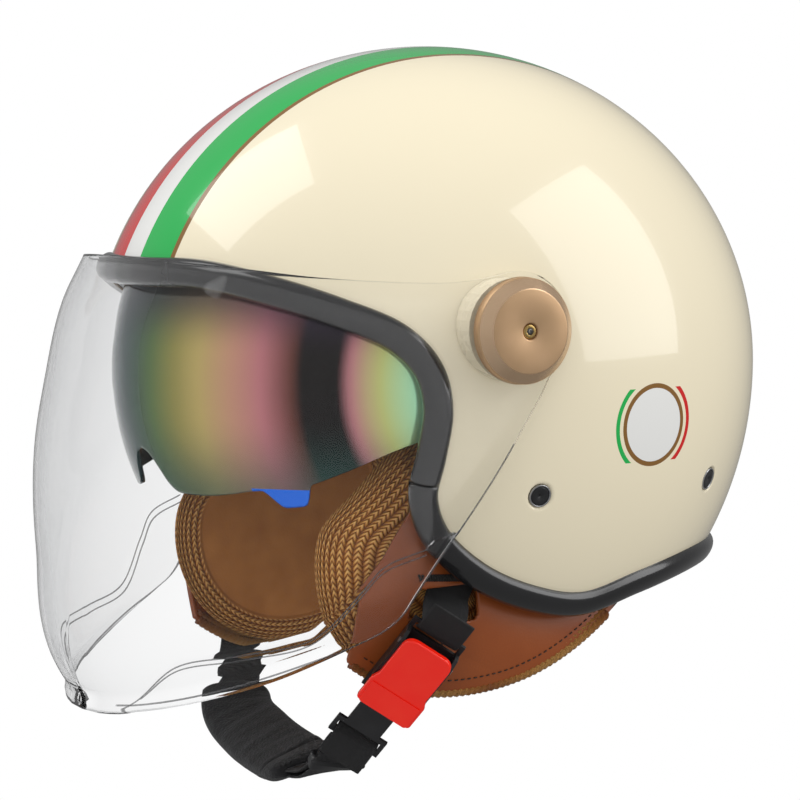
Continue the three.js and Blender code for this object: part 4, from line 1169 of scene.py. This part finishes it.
# The webbing folds back on itself round the bar at the buckle's top end, and round the tongue's at the other.
FOLD = [(0.0330, 0.0036), (0.0255, 0.0040), (0.0212, 0.0036), (0.0186, 0.0023), (0.0176, 0.0008)]
bm = Band(by_buckle(FOLD), 80).draw(0, 1, 60, webbing_section)
piece_from(bm, "webbing_fold_left", webbing.material, "root")
LOOP = [
    (-0.0575, 0.0068), (-0.0535, 0.0066), (-0.0485, 0.0060), (-0.0450, 0.0048), (-0.0432, 0.0028),
    (-0.0430, 0.0008),
]
bm = Band(by_buckle(LOOP), 90).draw(0, 1, 70, webbing_section)
piece_from(bm, "webbing_loop_right", webbing.material, "tongue")

# Where the right length goes below its skirt, and which way its width lies there.
UNDER_CHIN = [
    ((-0.089, -0.019, -0.148), (0.1, 1, 0)), ((-0.086, -0.022, -0.165), (0.2, 1, 0.1)),
    ((-0.074, -0.029, -0.180), (0, 1, 0.35)), ((-0.045, -0.033, -0.188), (0, 1, 0.5)),
    ((-0.010, -0.035, -0.1925), (0, 1, 0.45)), ((0.022, -0.038, -0.1915), (0, 1, 0.2)),
    ((0.042, -0.0395, -0.1865), (-0.1, 1, -0.1)),
]
below_skirt = [by_skirt(-1, 0.005, -0.017, -0.127)] + [(Vector(at), Vector(wide)) for at, wide in UNDER_CHIN]
right_band = Band(from_anchor(-1) + below_skirt + by_buckle([(-0.0496, 0.00285)]), 600)
bm = right_band.draw(0, 1, 520, webbing_section)
piece = piece_from(bm, "webbing_right", webbing.material, None, ["strap_right"])
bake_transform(piece)

# ----------------------------------------------------------------------------------------------------------
# The padded sleeve round the strap under the chin: black fleece, stitched across near its end, and the
# webbing's loose end doubled over the strap with a keeper and a slider near the buckle.
SLEEVE_HALF, SLEEVE_THICK = 0.0160, 0.0048
KEEPER_HALF, KEEPER_THICK, KEEPER_DOWN = 0.0122, 0.0036, 0.0012
TAIL_BELOW, TAIL_END, TAIL_STEPS = 0.0026, 0.965, 12
fleece = mottled("black_fleece", (0.004, 0.004, 0.005), (0.020, 0.020, 0.022), 0.88, 0.08, 0.0011, 0.012,
                 (0.9, 0.0009), Sheen_Weight=0.12, Sheen_Roughness=0.5)


def share_near(band, place):
    return min(range(len(band.line)), key=lambda i: (band.line[i] - place).length) / (len(band.line) - 1)


sleeve_start = share_near(right_band, Vector((-0.0835, -0.0245, -0.1705)))
sleeve_end = share_near(right_band, Vector((0.012, -0.037, -0.192)))


def sleeve_section(u, v):
    across, up = rounded(2 * math.pi * u, 0.55, 0.7)
    close = (1 - abs(2 * v - 1) ** 14) ** 0.5
    puff = SLEEVE_THICK * (0.35 + 0.65 * close) * (1 - 0.25 * math.exp(-((v - 0.86) / 0.012) ** 2))
    puff *= 1 + 0.10 * noise.noise(Vector((6 * u, 22 * v, 1.7)))
    return across * SLEEVE_HALF * (0.6 + 0.4 * close), up * puff


bm = right_band.draw(sleeve_start, sleeve_end, 200, sleeve_section, 72)
piece = piece_from(bm, "chin_sleeve_padded", fleece, None)
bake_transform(piece)

tail_start = sleeve_end - 0.03
tail = [right_band.at(tail_start + (TAIL_END - tail_start) * i / TAIL_STEPS) for i in range(TAIL_STEPS + 1)]
bm = Band([(p - n * TAIL_BELOW, w) for p, w, n in tail], 160).draw(0, 1, 150, webbing_section)
piece = piece_from(bm, "webbing_tail", webbing.material, None)
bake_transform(piece)
keeper = Band([right_band.at(0.93 + 0.016 * i / 4)[:2] for i in range(5)], 20)


def keeper_section(u, v):
    across, up = rounded(2 * math.pi * u, 0.3, 0.4)
    return across * KEEPER_HALF, up * KEEPER_THICK - KEEPER_DOWN


bm = keeper.draw(0, 1, 12, keeper_section, 48)
piece_from(bm, "strap_keeper", black_plastic, "tongue")

# ----------------------------------------------------------------------------------------------------------
# The ratchet buckle: a black frame, the glossy red lever with its rounded top and flared, stepped lower
# end, and the toothed tongue, which carries the strap's end. A steel pin and a coil spring lie under the
# lever.
LEVER_FROM, LEVER_TO, LEVER_HALF, LEVER_FLARE = -0.021, 0.018, 0.0115, 0.013
LEVER_UNDER, LEVER_THICK, STEP_SUNK, STEP_RISE = 0.0096, 0.0029, 0.0008, 0.0006
LUG_HALF, LUG_X, LUG_FROM, LUG_TO, LUG_FOOT = 0.0026, 0.007, 0.0085, 0.0135, 0.0055
TOOTH_HALF, TOOTH_FROM, TOOTH_TO, TOOTH_FOOT, LET_IN = 0.007, -0.0002, 0.0022, 0.0049, 0.0004


def corner(x, y, radius, start, end, steps=6):
    angles = [math.radians(start + (end - start) * i / steps) for i in range(steps + 1)]
    return [(x + radius * math.cos(a), y + radius * math.sin(a)) for a in angles]


def plate_from(outline, low, high, bevel):
    """A flat plate with rounded edges, in the buckle's own frame, then laid in place."""
    bm = bmesh.new()
    face = bm.faces.new([bm.verts.new((x, y, low)) for x, y in outline])
    raised = bmesh.ops.extrude_face_region(bm, geom=[face])
    upper = [v for v in raised["geom"] if isinstance(v, bmesh.types.BMVert)]
    bmesh.ops.translate(bm, verts=upper, vec=(0, 0, high - low))
    bmesh.ops.recalc_face_normals(bm, faces=bm.faces)
    rims = [e for e in bm.edges if abs(e.verts[0].co.z - e.verts[1].co.z) < 1e-7]
    bmesh.ops.bevel(bm, geom=rims, offset=bevel, segments=3, profile=0.5, affect="EDGES", clamp_overlap=True)
    for vertex in bm.verts:
        vertex.co = in_buckle(*vertex.co)
    return bm


def block(x_from, x_to, y_from, y_to, foot, bevel):
    """A small block let into the lever's underside."""
    corners = [(x_from, y_from), (x_to, y_from), (x_to, y_to), (x_from, y_to)]
    return plate_from(corners, foot, LEVER_UNDER + LET_IN, bevel)


red = mottled("lever_red", (0.98, 0.010, 0.003), (1.0, 0.028, 0.008), 0.14, 0.1, 0.003, 0.012, (0.06, 0.0003),
              Coat_Weight=0.35)

half, flare, start, end = LEVER_HALF, LEVER_FLARE, LEVER_FROM, LEVER_TO
outline = (
    corner(-half + 0.005, end - 0.005, 0.005, 180, 90) + corner(half - 0.005, end - 0.005, 0.005, 90, 0)
    + [(half, start + 0.0165)] + corner(flare - 0.0006, start + 0.0125, 0.0006, 60, 0, 2)
    + corner(flare - 0.0016, start + 0.0016, 0.0016, 0, -90, 4)
    + corner(-flare + 0.0016, start + 0.0016, 0.0016, -90, -180, 4)
    + corner(-flare + 0.0006, start + 0.0125, 0.0006, 180, 120, 2) + [(-half, start + 0.0165)]
)
top = LEVER_UNDER + LEVER_THICK
plates = [plate_from(outline, LEVER_UNDER, top, 0.0009)]
step_outline = [(x * 0.90, min(y, start + 0.0118)) for x, y in outline if y < start + 0.013]
plates.append(plate_from(step_outline, top - STEP_SUNK, top + STEP_RISE, 0.0005))
for x in (-LUG_X, LUG_X):
    plates.append(block(x - LUG_HALF, x + LUG_HALF, LUG_FROM, LUG_TO, LUG_FOOT, 0.0006))
plates.append(block(-TOOTH_HALF, TOOTH_HALF, TOOTH_FROM, TOOTH_TO, TOOTH_FOOT, 0.0003))
piece = piece_from(joined(plates), "lever_moulded", red, "lever", ["buckle_lever"])
piece.modifiers.new("crisp", "WEIGHTED_NORMAL")
dressed("buckle_frame", black_plastic, 0.0003)
dressed("buckle_tongue", black_plastic, 0.0002)
dressed("lever_pin", steel, 0.0002)
dressed("lever_spring", steel)

# ----------------------------------------------------------------------------------------------------------
# The studio: a white surround for whatever is seen directly or through the clear parts, a softer one that
# is brighter above and in front for light and reflections, two large soft lights, and the camera.
world = bpy.data.worlds.new("studio")
world.use_nodes = True
bpy.context.scene.world = world
bpy.context.scene.view_settings.view_transform = "Standard"
sky = Finish("studio", tree=world.node_tree)
background = world.node_tree.nodes["Background"]
way = sky.add("ShaderNodeTexCoord").outputs["Generated"]
facing = sky.add("ShaderNodeVectorMath", {"operation": "DOT_PRODUCT"}, _0=way, _1=(0.10, -0.55, 0.60))
glow = sky.ease(facing.outputs["Value"], -0.8, 0.8, 0.42, 0.95)
path = sky.add("ShaderNodeLightPath").outputs
seen = sky.math("MAXIMUM", path["Is Camera Ray"], path["Is Transmission Ray"])
level = sky.math("MULTIPLY", glow, sky.math("MULTIPLY_ADD", path["Is Glossy Ray"], -0.55, 1.0))
level = sky.mix_numbers(seen, level, 1.0)
world.node_tree.links.new(level, background.inputs[1])
background.inputs[0].default_value = (1, 1, 1, 1)


def soft_light(name, place, towards, size, power):
    data = bpy.data.lights.new(name, "AREA")
    data.shape = "RECTANGLE"
    data.size, data.size_y = size
    data.energy = power
    light = bpy.data.objects.new(name, data)
    light.location = place
    light.rotation_euler = (Vector(towards) - Vector(place)).to_track_quat("-Z", "Y").to_euler()
    bpy.context.scene.collection.objects.link(light)


soft_light("behind", (0.85, 1.05, 0.62), (0, 0.03, 0), (1.0, 1.35), 10)
soft_light("before", (-0.40, -0.85, 1.25), (0, 0, 0), (1.0, 0.9), 8)

TARGET = Vector((0, 0.0156, -0.0375))
AZIMUTH, ELEVATION, DISTANCE = math.radians(62), math.radians(4.35), 1.563
level_reach = math.cos(ELEVATION)
away = Vector((math.sin(AZIMUTH) * level_reach, -math.cos(AZIMUTH) * level_reach, math.sin(ELEVATION)))
lens = bpy.data.cameras.new("camera")
lens.lens = 160.4
camera = bpy.data.objects.new("camera", lens)
camera.location = TARGET + away * DISTANCE
camera.rotation_euler = (-away).to_track_quat("-Z", "Y").to_euler()
bpy.context.scene.collection.objects.link(camera)
bpy.context.scene.camera = camera
